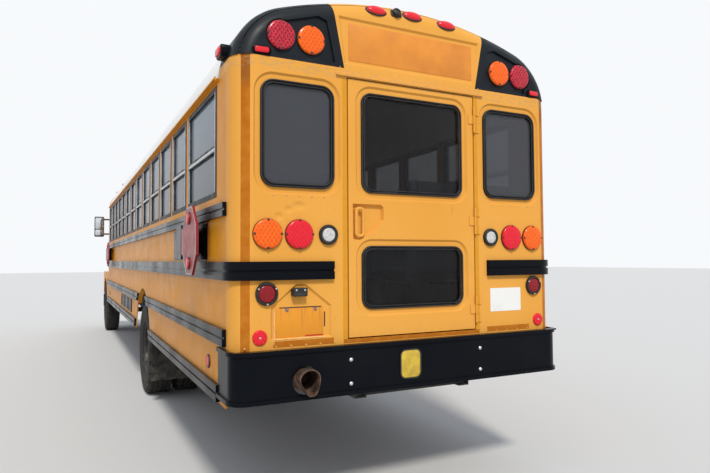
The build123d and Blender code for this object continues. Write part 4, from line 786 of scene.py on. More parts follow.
# columns: piece, finish, node that it stands for, and lamps by across, height, radius, plane and kind
lampGroups = (
    ("redLenses", "red_lens", "red_lamps",
     ((0.802, 1.700, 0.089, rearPlane, "domed"), (1.040, 1.112, 0.043, rearPlane, "small"))),
    ("capRedLenses", "dotted_lens", "red_lamps", ((0.910, 2.870, 0.089, capPlane, "domed"),)),
    ("stopLenses", "stop_lens", "red_lamps", ((1.000, 1.358, 0.067, rearPlane, "ringed"),)),
    ("amberLenses", "amber_lens", "amber_lamps",
     ((0.995, 1.700, 0.089, rearPlane, "domed"), (0.720, 2.870, 0.089, capPlane, "domed"))),
    ("clearLenses", "clear_lens", "clear_lamps", ((0.616, 1.700, 0.061, rearPlane, "ringed"),)),
)


def lensProfile(radius, rise, low):
    # a nearly flat face that rolls over at its rim
    # columns: share of the radius, share of the rise
    rolled = ((1, 0.55), (0.975, 0.74), (0.93, 0.86), (0.80, 0.94), (0.45, 0.99), (0, 1))
    return [(0, low), (radius, low)] + [(radius * out, rise * up) for out, up in rolled]


def ringProfile(radius, inner, rise):
    # a flat ring with a rounded outer edge and a slope down to its inner one
    outside = [(inner, 0), (radius, 0), (radius, rise * 0.6), (radius * 0.97, rise * 0.9)]
    return outside + [(radius * 0.93, rise), (inner * 1.06, rise), (inner, rise * 0.8)]


def button(name, sizes, place, facing, steps):
    # a bolt's head, a disc or a rod
    radius, top, edge, middle = sizes
    return turned(name, [(0, 0), (radius, 0), (top, edge), (0, middle)], place, facing, steps)


def buttonsRound(key, place, reach, lift, angles):
    # buttons of one kind round a lamp's middle, at a height over its seat
    made = []
    for angle in map(math.radians, angles):
        spot = Vector(place) + Vector((reach * math.cos(angle), lift, reach * math.sin(angle)))
        made.append(button(key, rearLamps[key], spot, rearOut, rearLamps["buttonSteps"]))
    return made


def roundLamp(row, lenses, bases, notches, bolts):
    across, height, radius, plane, kind = row
    place, steps = (across, plane, height), rearLamps["steps"]
    rise, low = rearLamps["rise"], rearLamps["baseRise"]
    if kind == "domed":
        profile = lensProfile(radius * 0.975, rise, rearLamps["foot"])
        base = [(0, 0), (radius, 0), (radius, low), (radius * 0.95, low), (0, low)]
    elif kind == "ringed":
        bolted = radius > rearLamps["bolted"]
        inner = radius * (0.76 if bolted else 0.70)
        profile = lensProfile(inner, rise * 0.72, rearLamps["foot"])
        base = ringProfile(radius, inner, rise * 0.8)
    else:
        profile, base = lensProfile(radius, rearLamps["smallRise"], 0), None
    lenses.append(turned("lens", profile, place, rearOut, steps))
    if base:
        bases.append(turned("base", base, place, rearOut, steps))
    if kind == "domed":
        notches += buttonsRound("notch", place, radius * 0.90, rise * 0.84, rearLamps["notchAngles"])
    elif kind == "small":
        bolts += buttonsRound("lensBolt", place, 0, rearLamps["smallRise"] - 0.0008, (0,))
    elif bolted:
        bolts += buttonsRound("bolt", place, (radius + inner) / 2, rise * 0.78, rearLamps["boltAngles"])


lampBases, lampNotches, lampBolts = [], [], []
for name, finish, node, rows in lampGroups:
    lenses = []
    for row in rows:
        roundLamp(row, lenses, lampBases, lampNotches, lampBolts)
    piece = dress(mirrored(name, lenses), finish)
    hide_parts(node)
dress(mirrored("lampBases", lampBases), "rubber_black")
dress(mirrored("lampNotches", lampNotches), "dark_screw")
dress(mirrored("lampBolts", lampBolts), "bright_bolt")
print("stage: rear lamps")

# small lamps on the cap: three on the brow, one at each corner, and a side marker at each side
browLamps = {
    "across": (0.27, 0, -0.27),
    "size": (0.070, 0.033, 0.021),
    "rimShares": (1.12, 1.22, 0.5),
    "lift": 0.004,
    "tilt": 24,
    "round": 0.110,
    "roofTop": 3.215,
    "crownRadius": 2.83,
}


def onBrow(across, angle):
    # the rounded edge between the rear wall and the roof, at an angle above level
    top = browLamps["roofTop"] - across * across / (2 * browLamps["crownRadius"])
    turn, reach = math.radians(angle), browLamps["round"]
    facing = Vector((0, math.cos(turn), math.sin(turn)))
    return Vector((across, rearPlane - reach, top - reach)) + facing * reach, facing


def domeOn(name, size, place, facing):
    # half an egg, cut flat where it sits
    letGo()
    bpy.ops.mesh.primitive_uv_sphere_add(segments=24, ring_count=14, radius=1)
    piece = named(name)
    piece.scale = size
    settle(piece)
    editing(piece, action="SELECT")
    cut = {"plane_co": (0, 0, -size[2] * 0.25), "plane_no": (0, 0, 1)}
    bpy.ops.mesh.bisect(use_fill=True, clear_inner=True, **cut)
    finished()
    return smoothed(seated(closedOutward(piece), place, facing), 50)


browLenses, browBases = [], []
browRim = [size * share for size, share in zip(browLamps["size"], browLamps["rimShares"])]
for across in browLamps["across"]:
    place, facing = onBrow(across, browLamps["tilt"])
    browLenses.append(domeOn("browLens", browLamps["size"], place + facing * browLamps["lift"], facing))
    browBases.append(domeOn("browBase", browRim, place, facing))
dress(joined("browLenses", browLenses), "lamp_red")
dress(joined("browBases", browBases), "rubber_black")

rearCamera = {
    "across": 0.125,
    "tilt": 22,
    "steps": 20,
    "body": [
        (0, -0.004), (0.030, -0.004), (0.031, 0.018), (0.027, 0.026), (0.016, 0.030), (0.015, 0.026),
        (0, 0.026),
    ],
    # columns: width and height, corner, thickness
    "foot": ((0.078, 0.05), 0.012, 0.008),
}
place, facing = onBrow(rearCamera["across"], rearCamera["tilt"])
cameraBody = turned("cameraBody", rearCamera["body"], place, facing, rearCamera["steps"])
cameraFoot = rounded("cameraFoot", *rearCamera["foot"], place, facing)
dress(joined("rearCamera", [cameraBody, cameraFoot]), "rubber_black")

# columns: place, way it faces, rise of the lens, then the housing and the lens
# a housing's or lens's columns: width and height, corner, thickness, bevel
cornerAngle = math.radians(5)
capMarks = {
    "corner": (
        (1.030, 5.9285, 2.760), (math.sin(cornerAngle), math.cos(cornerAngle), 0), 0.0115,
        ((0.112, 0.050), 0.020, 0.012, 0.006), ((0.082, 0.032), 0.010, 0.008, 0.004),
    ),
    "marker": (
        (1.165, 5.70, 2.792), (1, 0, 0), 0.0595,
        ((0.130, 0.074), 0.024, 0.060, 0.010), ((0.098, 0.044), 0.014, 0.010, 0.004),
    ),
}
for name, (place, facing, lift, *plates) in capMarks.items():
    parts = []
    for (size, corner, thick, bevel), rise in zip(plates, (0, lift)):
        spot = Vector(place) + Vector(facing) * rise
        parts.append(rounded("part", size, corner, thick, spot, facing, bevel))
    dress(mirrored(name + "Housings", parts[:1]), "black_gloss")
    dress(mirrored(name + "Lenses", parts[1:]), "lamp_red")
print("stage: cap lamps")

# the blank sign in the cap's recess, the blank white label, and the drip strip over the door
rearPlates = {
    "sign": (0.950, 0.236),
    "signPlace": (-0.007, rearPlane - 0.0121, 2.906),
    "label": (0.272, 0.161),
    "labelPlace": (-0.748, rearPlane, 1.2665),
    "stripX": (-0.56, 0.56),
    "stripZ": 2.683,
    # columns: behind and before the wall, below and above the strip's height, bevel
    "strip": ((-0.004, 0.016), (-0.004, 0.003), 0.0015),
    "flange": ((-0.002, 0.0025), (-0.002, 0.022), 0.0012),
}
sign = rounded("blankSign", rearPlates["sign"], 0.008, 0.003, rearPlates["signPlace"], rearOut, 0.001)
dress(sign, "sign_orange")
label = rounded("blankLabel", rearPlates["label"], 0.006, 0.001, rearPlates["labelPlace"], rearOut, 0)
dress(label, "label_white")
strips = []
for key in ("strip", "flange"):
    (back, front), (below, above), bevel = rearPlates[key]
    low, high = rearPlates["stripX"]
    height = rearPlates["stripZ"]
    strips.append(
        block(key, (low, rearPlane + back, height + below), (high, rearPlane + front, height + above), bevel)
    )
dress(joined("doorStrip", strips), "rear_yellow")

# plate place: a lamp hood over it, the patch, and the two bolts that held the plate
plateLamp = {
    "across": 0.806,
    "height": 1.364,
    "size": (0.088, 0.050),
    "sunk": 0.014,
    "reach": 0.040,
    "bevel": 0.007,
    "eyeSteps": (-0.026, 0.026),
    "eyeRise": 0.012,
    "eye": (0.007, 0.006, 0.003, 0.004),
}
x, z = plateLamp["across"], plateLamp["height"]
width, tall = plateLamp["size"]
low = (x - width / 2, rearPlane - plateLamp["sunk"], z - tall / 2)
high = (x + width / 2, rearPlane + plateLamp["reach"], z + tall / 2)
hood = block("plateLampHood", low, high, plateLamp["bevel"], 3)


def hoodOpenings(middle, face):
    return face.normal.z < -0.9 or (face.normal.y > 0.9 and face.area > 0.001)


editing(hood, "FACE")
choose(hood, "polygons", hoodOpenings)
bpy.ops.mesh.inset(thickness=0.006, depth=-0.003, use_individual=True)
finished()
dress(smoothed(hood), "rubber_black")
eyeY, eyeZ = rearPlane + plateLamp["reach"] - 0.002, z + plateLamp["eyeRise"]
eyes = []
for step in plateLamp["eyeSteps"]:
    eyes.append(button("eye", plateLamp["eye"], (x + step, eyeY, eyeZ), rearOut, 12))
dress(joined("plateLampEyes", eyes), "aluminium")

recessFloor = rearPlane - 0.0122
# columns: finish, slot, then blocks by low corner, high corner, bevel and its segments
recessBlocks = {
    "platePatch": (
        "plate_ochre", "body_yellow",
        (((0.645, recessFloor - 0.001, 1.101), (0.942, recessFloor + 0.0016, 1.274), 0.001, 2),),
    ),
    "plateSlots": (
        "dark_screw", "chassis_black",
        (((0.657, recessFloor, 1.270), (0.920, recessFloor + 0.0022, 1.277), 0.001, 1),),
    ),
    # pale strips on the left and bottom edges of the plate recess: a painted highlight where the flange edge
    # catches the light, over worn chalky paint
    "recessWornHighlights": (
        "chalky_yellow", "body_yellow",
        (((0.953, rearPlane - 0.002, 1.068), (0.958, rearPlane + 0.0025, 1.272), 0.001, 1),
         ((0.640, rearPlane - 0.002, 1.0925), (0.952, rearPlane + 0.0022, 1.0975), 0.001, 1)),
    ),
}
slotSide = {"size": (0.0075, 0.089), "corner": 0.0035, "thick": 0.0012, "place": (0.636, recessFloor, 1.1985)}
for name, (finish, slot, rows) in recessBlocks.items():
    parts = [block("part", *row) for row in rows]
    if name == "plateSlots":
        parts.append(rounded("slotSide", *slotSide.values(), rearOut, 0))
    dress(joined(name, parts), finish)

plateBolts = {
    "across": (0.6961, 0.8739),
    "place": (recessFloor + 0.0014, 1.262),
    "head": [(0, 0), (0.0085, 0), (0.0085, 0.003), (0.0062, 0.0062), (0, 0.0075)],
    "washer": (0.0125, 0.0125, 0.0015, 0.0015),
}
bolts = []
for across in plateBolts["across"]:
    spot = (across, *plateBolts["place"])
    bolts.append(turned("bolt", plateBolts["head"], spot, rearOut, 12))
    bolts.append(button("washer", plateBolts["washer"], spot, rearOut, 16))
dress(joined("plateBolts", bolts), "rusty_steel")

# bumper: domed bolts and a plain blank plate
bumperFace = 5.968
bumperBolts = {
    "across": (0.485, -0.485),
    "heights": (0.951, 0.809),
    "radius": 0.0135,
    # columns: share of the radius, height
    "profile": ((0, -0.001), (1, -0.001), (1, 0.002), (0.8, 0.0065), (0.4, 0.009), (0, 0.0097)),
}
bolts = []
profile = [(bumperBolts["radius"] * share, height) for share, height in bumperBolts["profile"]]
for across in bumperBolts["across"]:
    for height in bumperBolts["heights"]:
        bolts.append(turned("bolt", profile, (across, bumperFace, height), rearOut, 16))
dress(joined("bumperBolts", bolts), "bright_bolt")
badgePlace = (0.066, bumperFace, 0.893)
badge = rounded("blankBadge", (0.142, 0.172), 0.034, 0.004, badgePlace, rearOut, 0.0015)
border = ringed("badgeBorder", (0.158, 0.188), 0.040, 0.009, 0.006, badgePlace, rearOut)
dress(badge, "sign_yellow")
dress(border, "rubber_black")

# tail pipe: the real one's end is crushed to a narrow mouth that hangs low on one side
tailTip = {
    "centre": (0.776, 0.856),
    "start": 5.915,
    "swell": 5.962,
    "ramp": 0.05,
    "cuts": (5.915, 5.93, 5.945, 5.962, 5.98, 6.00, 6.02),
    # columns: angle seen from behind, share of the round mouth's radius
    "crush": (
        (0, 0.88), (25, 0.98), (45, 1.06), (62, 1.05), (90, 1.02), (135, 1.0), (163, 0.95), (190, 0.80),
        (218, 0.68), (242, 0.84), (263, 1.10), (280, 1.17), (296, 1.18), (312, 1.02), (330, 0.90),
        (360, 0.88),
    ),
}


def crushed(angle):
    table = tailTip["crush"]
    for (first, low), (second, high) in zip(table, table[1:]):
        if first <= angle <= second:
            return low + (high - low) * (angle - first) / (second - first)
    return 1.0


exhaust = copied(nodes["exhaust"])
for key in list(exhaust.keys()):
    del exhaust[key]
exhaust.parent = None
exhaust.name = exhaust.data.name = "crushedExhaust"
editing(exhaust, action="SELECT")
bpy.ops.mesh.remove_doubles(threshold=0.00001)
for cut in tailTip["cuts"]:
    bpy.ops.mesh.select_all(action="SELECT")
    bpy.ops.mesh.bisect(plane_co=(0, cut, 0), plane_no=(0, 1, 0))
finished()
pipeX, pipeZ = tailTip["centre"]
for vertex in exhaust.data.vertices:
    if vertex.co.y > tailTip["start"]:
        right, up = pipeX - vertex.co.x, vertex.co.z - pipeZ
        squeeze = crushed(math.degrees(math.atan2(up, right)) % 360)
        # it narrows inside the bumper and swells only past its face
        begins = tailTip["start"] if squeeze < 1 else tailTip["swell"]
        share = max(min((vertex.co.y - begins) / tailTip["ramp"], 1), 0)
        share = share * share * (3 - 2 * share)
        factor = 1 + (squeeze - 1) * share
        vertex.co.x = pipeX - right * factor
        vertex.co.z = pipeZ + up * factor
dress(smoothed(exhaust, 40), "exhaust_rust")
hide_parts("exhaust")
print("stage: plates, bolts and tail pipe")

# rubber seals round the rear panes: an outer and an inner bead
seals = {
    "bead": 0.0055,
    "outer": 0.005,
    "inner": 0.020,
    # columns: span across, span in height, corner, plane
    "wall": (((0.571, 1.036), (1.973, 2.602), 0.080, 5.9305),),
    "door": (
        ((-0.385, 0.385), (1.965, 2.598), 0.070, 5.9265),
        ((-0.385, 0.385), (1.241, 1.636), 0.070, 5.9265),
    ),
}


def beadRound(name, spanX, spanZ, corner, y, bead):
    # a rounded loop of rubber, from the rim of a plane with bevelled corners
    loop = roundPlane(name, (spanX[1] - spanX[0], spanZ[1] - spanZ[0]), corner, 6)
    bpy.ops.mesh.delete(type="ONLY_FACE")
    pick(loop)
    bpy.ops.object.convert(target="CURVE")
    loop = bpy.context.object
    loop.data.bevel_depth = bead
    loop.data.bevel_resolution = 2
    bpy.ops.object.convert(target="MESH")
    turn = Matrix(((1, 0, 0), (0, 0, 1), (0, 1, 0))).to_4x4()
    loop = moved(named(name), (sum(spanX) / 2, y, sum(spanZ) / 2), turn)
    return smoothed(closedOutward(loop), 60)


def sealPairs(rows):
    beads = []
    for spanX, spanZ, corner, y in rows:
        # columns: how far inside the pane's edge, how far behind its plane, share of the bead
        for inset, back, share in ((seals["outer"], 0, 1), (seals["inner"], 0.001, 0.8)):
            across, tall = [(span[0] + inset, span[1] - inset) for span in (spanX, spanZ)]
            beads.append(beadRound("seal", across, tall, corner - inset, y - back, seals["bead"] * share))
    return beads


dress(mirrored("wallSeals", sealPairs(seals["wall"])), "rubber_black")
dress(joined("doorSeals", sealPairs(seals["door"])), "rubber_black", "rear_door")
# the pull handle in the door's pocket: a rounded loop over the grip
pullLoop = {
    "spanX": (0.379, 0.428),
    "spanZ": (1.696, 1.866),
    "corner": 0.020,
    "y": rearPlane + 0.003,
    "bead": 0.0105,
}
dress(beadRound("pullLoop", **pullLoop), "rear_yellow", "rear_door")
print("stage: window seals and door pull")

# rivets and dimples of the rear wall and cap
# columns: from, to, height, off the wall, pitch, size, and whether the row is on both sides
rearRivetRows = (
    (0.64, 0.96, 1.925, 0, 0.080, 1.25, True),
    (0.575, 1.125, 1.054, 0, 0.092, 1.15, True),
    (0.57, 1.04, 2.712, 0, 0.05, 0.7, True),
    (-0.53, 0.53, 2.699, 0.002, 0.07, 0.7, False),
    (-0.53, 0.53, 2.735, 0, 0.07, 0.7, False),
)
rearRivets = []
for start, end, height, off, pitch, size, paired in rearRivetRows:
    for side in (1, -1) if paired else (1,):
        ends = [(side * across, rearPlane + off, height) for across in (start, end)]
        rearRivets.append(rivetRow(*ends, pitch, rearOut, size))
dress(joined("rearRivets", rearRivets), "rivet_yellow")
print("stage: rear rivets")

# tyres: one model, spun from its cross-section and cut into blocks, then copied to its six places
tyre = {
    "half": 0.140,
    "steps": 72,
    "grooves": (0.026, 0.072),
    "grooveHalf": 0.0055,
    "grooveFloor": 0.6,
    "grooveDepth": 0.013,
    "treadHalf": 0.104,
    "blockEvery": 3,
    "blockDrop": 0.036,
    "blockInset": 0.0015,
    "blockDepth": 0.010,
    "twinSpacing": 0.330,
    # columns: drop from the tread's radius, share of the half width
    "shoulder": ((0.003, 0.775), (0.013, 0.865), (0.034, 0.935), (0.070, 0.975)),
    # columns: radius, share of the half width
    "bore": (0.287, 0.78),
    "wall": (
        (0.435, 0.985), (0.421, 0.988), (0.419, 1.0), (0.409, 1.0), (0.407, 0.985), (0.380, 0.965),
        (0.350, 0.925), (0.322, 0.865), (0.318, 0.880), (0.308, 0.880), (0.304, 0.84), (0.291, 0.80),
    ),
}
tyreLow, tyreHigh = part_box("front_tyre_left")
tyreRadius = (tyreHigh.z - tyreLow.z) / 2
axleHeight = (tyreHigh.z + tyreLow.z) / 2
frontAxleY = (tyreHigh.y + tyreLow.y) / 2
frontTyreX = (tyreHigh.x + tyreLow.x) / 2
rearLow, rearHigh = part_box("rear_tyres_left")
rearAxleY = (rearHigh.y + rearLow.y) / 2
rearOuterX = rearHigh.x - tyre["half"]
rearInnerX = rearOuterX - tyre["twinSpacing"]
axleOut = (1, 0, 0)


def tyreProfile():
    half, reach, depth = tyre["half"], tyre["grooveHalf"], tyre["grooveDepth"]
    floor = reach * tyre["grooveFloor"]
    right = []
    for place in tyre["grooves"]:
        right += [(tyreRadius, place - reach), (tyreRadius - depth, place - floor)]
        right += [(tyreRadius - depth, place + floor), (tyreRadius, place + reach)]
    right.append((tyreRadius, tyre["treadHalf"]))
    right += [(tyreRadius - drop, half * share) for drop, share in tyre["shoulder"]]
    right += [(radius, half * share) for radius, share in (*tyre["wall"], tyre["bore"])]
    return [(radius, -across) for radius, across in reversed(right)] + right


def shoulderGap(middle, face):
    # every third step of the shoulder, outside the grooves, is a gap between two blocks
    if math.hypot(middle.y, middle.z) < tyreRadius - tyre["blockDrop"]:
        return False
    step = int(math.degrees(math.atan2(middle.z, middle.y)) % 360 / (360 / tyre["steps"]))
    return abs(middle.x) > tyre["grooves"][1] + tyre["grooveHalf"] and step % tyre["blockEvery"] == 0


tyreModel = turned("tyreModel", tyreProfile(), (0, 0, 0), axleOut, tyre["steps"])
editing(tyreModel, "FACE")
choose(tyreModel, "polygons", shoulderGap)
bpy.ops.mesh.inset(thickness=tyre["blockInset"], depth=-tyre["blockDepth"])
finished()
smoothed(tyreModel, 30)
for side, title in sides:
    name = title.lower()
    single = [copied(tyreModel, (side * frontTyreX, frontAxleY, axleHeight))]
    piece = dress(joined("tyreFront" + title, single), "tyre_rubber", "front_wheel_" + name)
    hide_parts("front_tyre_" + name)
    twins = [copied(tyreModel, (side * across, rearAxleY, axleHeight)) for across in (rearOuterX, rearInnerX)]
    piece = dress(joined("tyresRear" + title, twins), "tyre_rubber", "rear_wheels_" + name)
    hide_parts("rear_tyres_" + name)
bpy.data.objects.remove(tyreModel)
print("stage: tyres")

# disc wheels with hand holes, hubs and nuts
discWheel = {
    "steps": 64,
    "hubSteps": 40,
    "handHoles": 10,
    "holeRadius": 0.019,
    "holeReach": 0.213,
    "holeDepth": 0.04,
    "frontDisc": 0.045,
    "rearDisc": -0.100,
    "nuts": 10,
    "nutReach": 0.1425,
    "nutSize": 0.019,
    "frontNuts": 0.052,
    "rearNuts": -0.097,
}
# an outline's columns: radius, place outward from the tyre's middle
rimOutline = [
    (0.2975, 0.105), (0.2975, 0.098), (0.2865, 0.092), (0.2865, -0.092), (0.2975, -0.098), (0.2975, -0.105),
    (0.288, -0.105),
]
frontOutline = rimOutline + [
    (0.277, -0.090), (0.274, -0.020), (0.262, 0.002), (0.232, 0.030), (0.178, 0.046), (0.165, 0.042),
    (0.110, 0.042), (0.110, -0.060), (0.0385, -0.060), (0.0385, 0.045), (0, 0.045), (0, 0.104),
    (0.048, 0.102), (0.060, 0.094), (0.064, 0.066), (0.090, 0.062), (0.096, 0.052), (0.165, 0.052),
    (0.180, 0.058),
    (0.234, 0.042), (0.264, 0.016), (0.270, 0.024), (0.277, 0.090), (0.288, 0.105),
]
rearOutline = rimOutline + [
    (0.120, -0.109), (0.120, -0.097), (0.170, -0.097), (0.182, -0.091), (0.236, -0.096), (0.262, -0.084),
    (0.272, -0.060), (0.277, 0.090), (0.288, 0.105),
]
hubOutline = [
    (0.0703, -0.225), (0.120, -0.225), (0.120, -0.060), (0.112, -0.048), (0.098, -0.044), (0.094, -0.018),
    (0.086, -0.008), (0.086, 0.003), (0.080, 0.008), (0.030, 0.010), (0, 0.010), (0, 0.001), (0.0703, 0.001),
]


def withHandHoles(piece, place):
    # round holes through the disc
    cutters = []
    reach, radius, depth = discWheel["holeReach"], discWheel["holeRadius"], discWheel["holeDepth"]
    profile = [(0, -depth), (radius, -depth), (radius, depth), (0, depth)]
    for k in range(discWheel["handHoles"]):
        angle = 2 * math.pi * k / discWheel["handHoles"]
        spot = (place, reach * math.cos(angle), reach * math.sin(angle))
        cutters.append(turned("cutter", profile, spot, axleOut, 16))
    cutter = joined("cutter", cutters)
    cut = piece.modifiers.new("handHoles", "BOOLEAN")
    cut.operation = "DIFFERENCE"
    cut.object = cutter
    applyAll(piece)
    bpy.data.objects.remove(cutter)
    # slivers that the cut leaves are merged away
    editing(piece, action="SELECT")
    bpy.ops.mesh.dissolve_degenerate(threshold=0.00005)
    bpy.ops.mesh.remove_doubles(threshold=0.00002)
    finished()
    return smoothed(piece, 30)


def nutRing(place):
    letGo()
    size = discWheel["nutSize"]
    nut = {"radius": size * 0.86, "depth": size * 1.3, "location": (0, 0, place + size * 0.65)}
    bpy.ops.mesh.primitive_cylinder_add(vertices=6, **nut)
    nut = settle(bpy.context.object)
    editing(nut, "EDGE")
    choose(nut, "edges", lambda middle, edge: middle.z > place + size)
    bpy.ops.mesh.bevel(offset=0.003, segments=1, affect="EDGES")
    finished()
    profile = [(0, 0), (0.008, 0), (0.008, size * 1.75), (0.006, size * 1.9), (0, size * 1.9)]
    stud = turned("stud", profile, (0, 0, place), (0, 0, 1), 10)
    nut = moved(joined("nut", [nut, stud]), (discWheel["nutReach"], 0, 0))
    turns = [turnAbout(360 * k / discWheel["nuts"], "Z") for k in range(1, discWheel["nuts"])]
    ring = joined("nutRing", [nut] + [moved(copied(nut), turn) for turn in turns])
    return smoothed(moved(ring, turnAbout(90, "Y")), 30)


def wheelPiece(name, models, side, place, finish, body):
    # made for the left side, turned half round for the right, and set on its axle
    piece = joined(name, [copied(model) for model in models])
    if side < 0:
        moved(piece, turnAbout(180, "Z"))
    return moved(dress(piece, finish, body), place)


discModels = {}
for end, outline in (("front", frontOutline), ("rear", rearOutline)):
    model = turned(end + "Model", outline, (0, 0, 0), axleOut, discWheel["steps"])
    discModels[end] = withHandHoles(model, discWheel[end + "Disc"])
    discModels[end + "Nuts"] = nutRing(discWheel[end + "Nuts"])
discModels["hub"] = turned("hubModel", hubOutline, (0, 0, 0), axleOut, discWheel["hubSteps"])
discModels["inner"] = moved(copied(discModels["rear"]), (-tyre["twinSpacing"], 0, 0), turnAbout(180, "Z"))
# columns: name of the discs, name of the nuts, body, models of the discs, model of the nuts, place
wheelSets = (
    ("discFront", "nutsFront", "front_wheel_", ("front",), "frontNuts", (frontTyreX, frontAxleY)),
    ("discsRear", "nutsRear", "rear_wheels_", ("rear", "inner", "hub"), "rearNuts", (rearOuterX, rearAxleY)),
)
for side, title in sides:
    for discName, nutName, bodyStart, discKeys, nutKey, (across, along) in wheelSets:
        body, place = bodyStart + title.lower(), (side * across, along, axleHeight)
        models = [discModels[key] for key in discKeys]
        wheel = wheelPiece(discName + title, models, side, place, "rim_paint", body)
        # the node of the discs has the name of their body
        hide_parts(body)
        wheelPiece(nutName + title, [discModels[nutKey]], side, place, "wheel_nut", body)
for model in discModels.values():
    bpy.data.objects.remove(model)
print("stage: disc wheels")

# flanks: rivets along the rails and panel seams, drip rails, sash edges, vents, a black sheet and small lamps
flank = {
    "plane": 1.195,
    "rearEnd": 5.76,
    "fronts": {1: -4.15, -1: -3.25},
    # rows of rivets by height, just above and below the rails; those under the limit stop short of the wheel
    "rivetRows": (1.912, 1.785, 1.563, 1.415, 1.172, 1.036, 0.830),
    "rivetPitch": 0.11,
    "rivetSize": 0.9,
    "lowLimit": 1.1,
    "archRow": 0.80,
    "archSeam": 0.82,
    "seamRows": ((1.57, 1.78), (1.17, 1.41), (0.84, 1.03)),
    "seamPitch": 1.422,
    "seamFirst": 4.585,
    "seamOffset": 0.014,
    "seamMargin": 0.03,
    "seamRivets": (0.06, 0.7),
}


def flankRow(side, start, end, pitch, size):
    # a row of rivets between two places, each along and up
    ends = [(side * flank["plane"], *place) for place in (start, end)]
    return rivetRow(*ends, pitch, (side, 0, 0), size)


sideRivets = []
for side, front in flank["fronts"].items():
    for height in flank["rivetRows"]:
        stops = [flank["rearEnd"], front]
        if height < flank["lowLimit"]:
            stops[1:1] = [rearAxleY + flank["archRow"], rearAxleY - flank["archRow"]]
        for start, end in zip(stops[::2], stops[1::2]):
            places = (start, height), (end, height)
            sideRivets.append(flankRow(side, *places, flank["rivetPitch"], flank["rivetSize"]))
    seam = flank["seamFirst"]
    while seam > front:
        for low, high in flank["seamRows"]:
            if high > flank["lowLimit"] or abs(seam - rearAxleY) > flank["archSeam"]:
                along, margin = seam + flank["seamOffset"], flank["seamMargin"]
                places = (along, low + margin), (along, high - margin)
                sideRivets.append(flankRow(side, *places, *flank["seamRivets"]))
        seam -= flank["seamPitch"]
dress(joined("sideRivets", sideRivets), "rivet_yellow")

# columns: inner and outer reach from the plane, low and high edge, bevel
dripParts = ((-0.004, 0.022, 2.655, 2.672, 0.004), (0.017, 0.022, 2.655, 2.684, 0.002))
dripSpan = (-3.99, 5.58)
drips = []
for side in (1, -1):
    for inner, outer, low, high, bevel in dripParts:
        inside, outside = sorted(side * (flank["plane"] + reach) for reach in (inner, outer))
        drips.append(block("drip", (inside, dripSpan[0], low), (outside, dripSpan[1], high), bevel))
dress(joined("dripRails", drips), "body_yellow")

# bright edges of the sashes, and a latch pair on each
sash = {
    "plane": 1.1885,
    "thick": 0.0125,
    "level": 2.250,
    "barInset": 0.036,
    "barHeights": (-0.015, 0.007),
    "postInsets": (0.034, -0.039),
    "postWidth": 0.005,
    "postHeights": (1.976, 2.604),
    "latchSteps": (-0.16, 0.16),
    "latchHalf": 0.018,
    "latchHeights": (0.006, 0.020),
    "latchLift": 0.002,
}
postPitch, firstPost, postHalf = 0.711, 4.585, 0.038
windowSpans = [(4.623, 5.545)]
for k in range(11):
    windowSpans.append((firstPost - postPitch * (k + 1) + postHalf, firstPost - postPitch * k - postHalf))
driverSpan = (-3.980, -3.274)
sashes, latches = [], []
for side in (1, -1):
    inner, outer = sorted((side * sash["plane"], side * (sash["plane"] + sash["thick"])))
    level = sash["level"]
    for low, high in windowSpans + ([driverSpan] if side > 0 else []):
        foot, head = (level + rise for rise in sash["barHeights"])
        inset = sash["barInset"]
        sashes.append(block("sash", (inner, low + inset, foot), (outer, high - inset, head), 0.003, 1))
        foot, head = sash["postHeights"]
        for edge in (low + sash["postInsets"][0], high + sash["postInsets"][1]):
            corner = (outer, edge + sash["postWidth"], head)
            sashes.append(block("sash", (inner, edge, foot), corner, 0.0015, 1))
        foot, head = (level + rise for rise in sash["latchHeights"])
        for edge in ((low + high) / 2 + step for step in sash["latchSteps"]):
            corner = (outer + sash["latchLift"] * (side > 0), edge + sash["latchHalf"], head)
            latches.append(block("latch", (inner, edge - sash["latchHalf"], foot), corner, 0.002, 1))
dress(joined("sashEdges", sashes), "aluminium")
dress(joined("sashLatches", latches), "rubber_black")
print("stage: side rivets, drips and sashes")

# left side: a thin black sheet on the wall behind the rear stop arm, louvred vent in the skirt
dress(block("stopArmBlackSheet", (1.1945, 4.02, 1.556), (1.1990, 5.30, 1.793), 0.0015), "black_gloss")
vent = {
    "front": -0.91,
    "rear": 0.60,
    "low": 0.848,
    "high": 1.028,
    "base": (1.1945, 1.1985),
    "slats": 7,
    "slat": (1.198, 1.2115),
    "slatHeights": (0.006, 0.012),
    "slatInset": 0.02,
    "tilt": -28,
    "post": (1.195, 1.2065),
    "postWidth": 0.02,
    "postSteps": (0, 0.5, 1.0, 1.49),
}
front, rear, low, high = vent["front"], vent["rear"], vent["low"], vent["high"]
inner, outer = vent["base"]
ventParts = [block("ventBase", (inner, front, low), (outer, rear, high), 0.001, 1)]
inner, outer = vent["slat"]
foot, head = (low + rise for rise in vent["slatHeights"])
slat = block(
    "slat", (inner, front + vent["slatInset"], foot), (outer, rear - vent["slatInset"], head), 0.002, 1,
)
moved(slat, (inner, 0, low), turnAbout(vent["tilt"], "Y"), (-inner, 0, -low))
ventParts.append(arrayed(slat, vent["slats"], (0, 0, (high - low) / vent["slats"])))
inner, outer = vent["post"]
for edge in (front + step for step in vent["postSteps"]):
    ventParts.append(block("ventPost", (inner, edge, low), (outer, edge + vent["postWidth"], high), 0.002, 1))
dress(joined("skirtVent", ventParts), "black_gloss")


def smallLamp(place, facing, radius, rise, rimWidth, rimRise):
    # a low round lens and the rim about it
    lens = turned("lens", lensProfile(radius, rise, 0), place, facing, 24)
    return lens, turned("rim", ringProfile(radius + rimWidth, radius, rimRise), place, facing, 24)


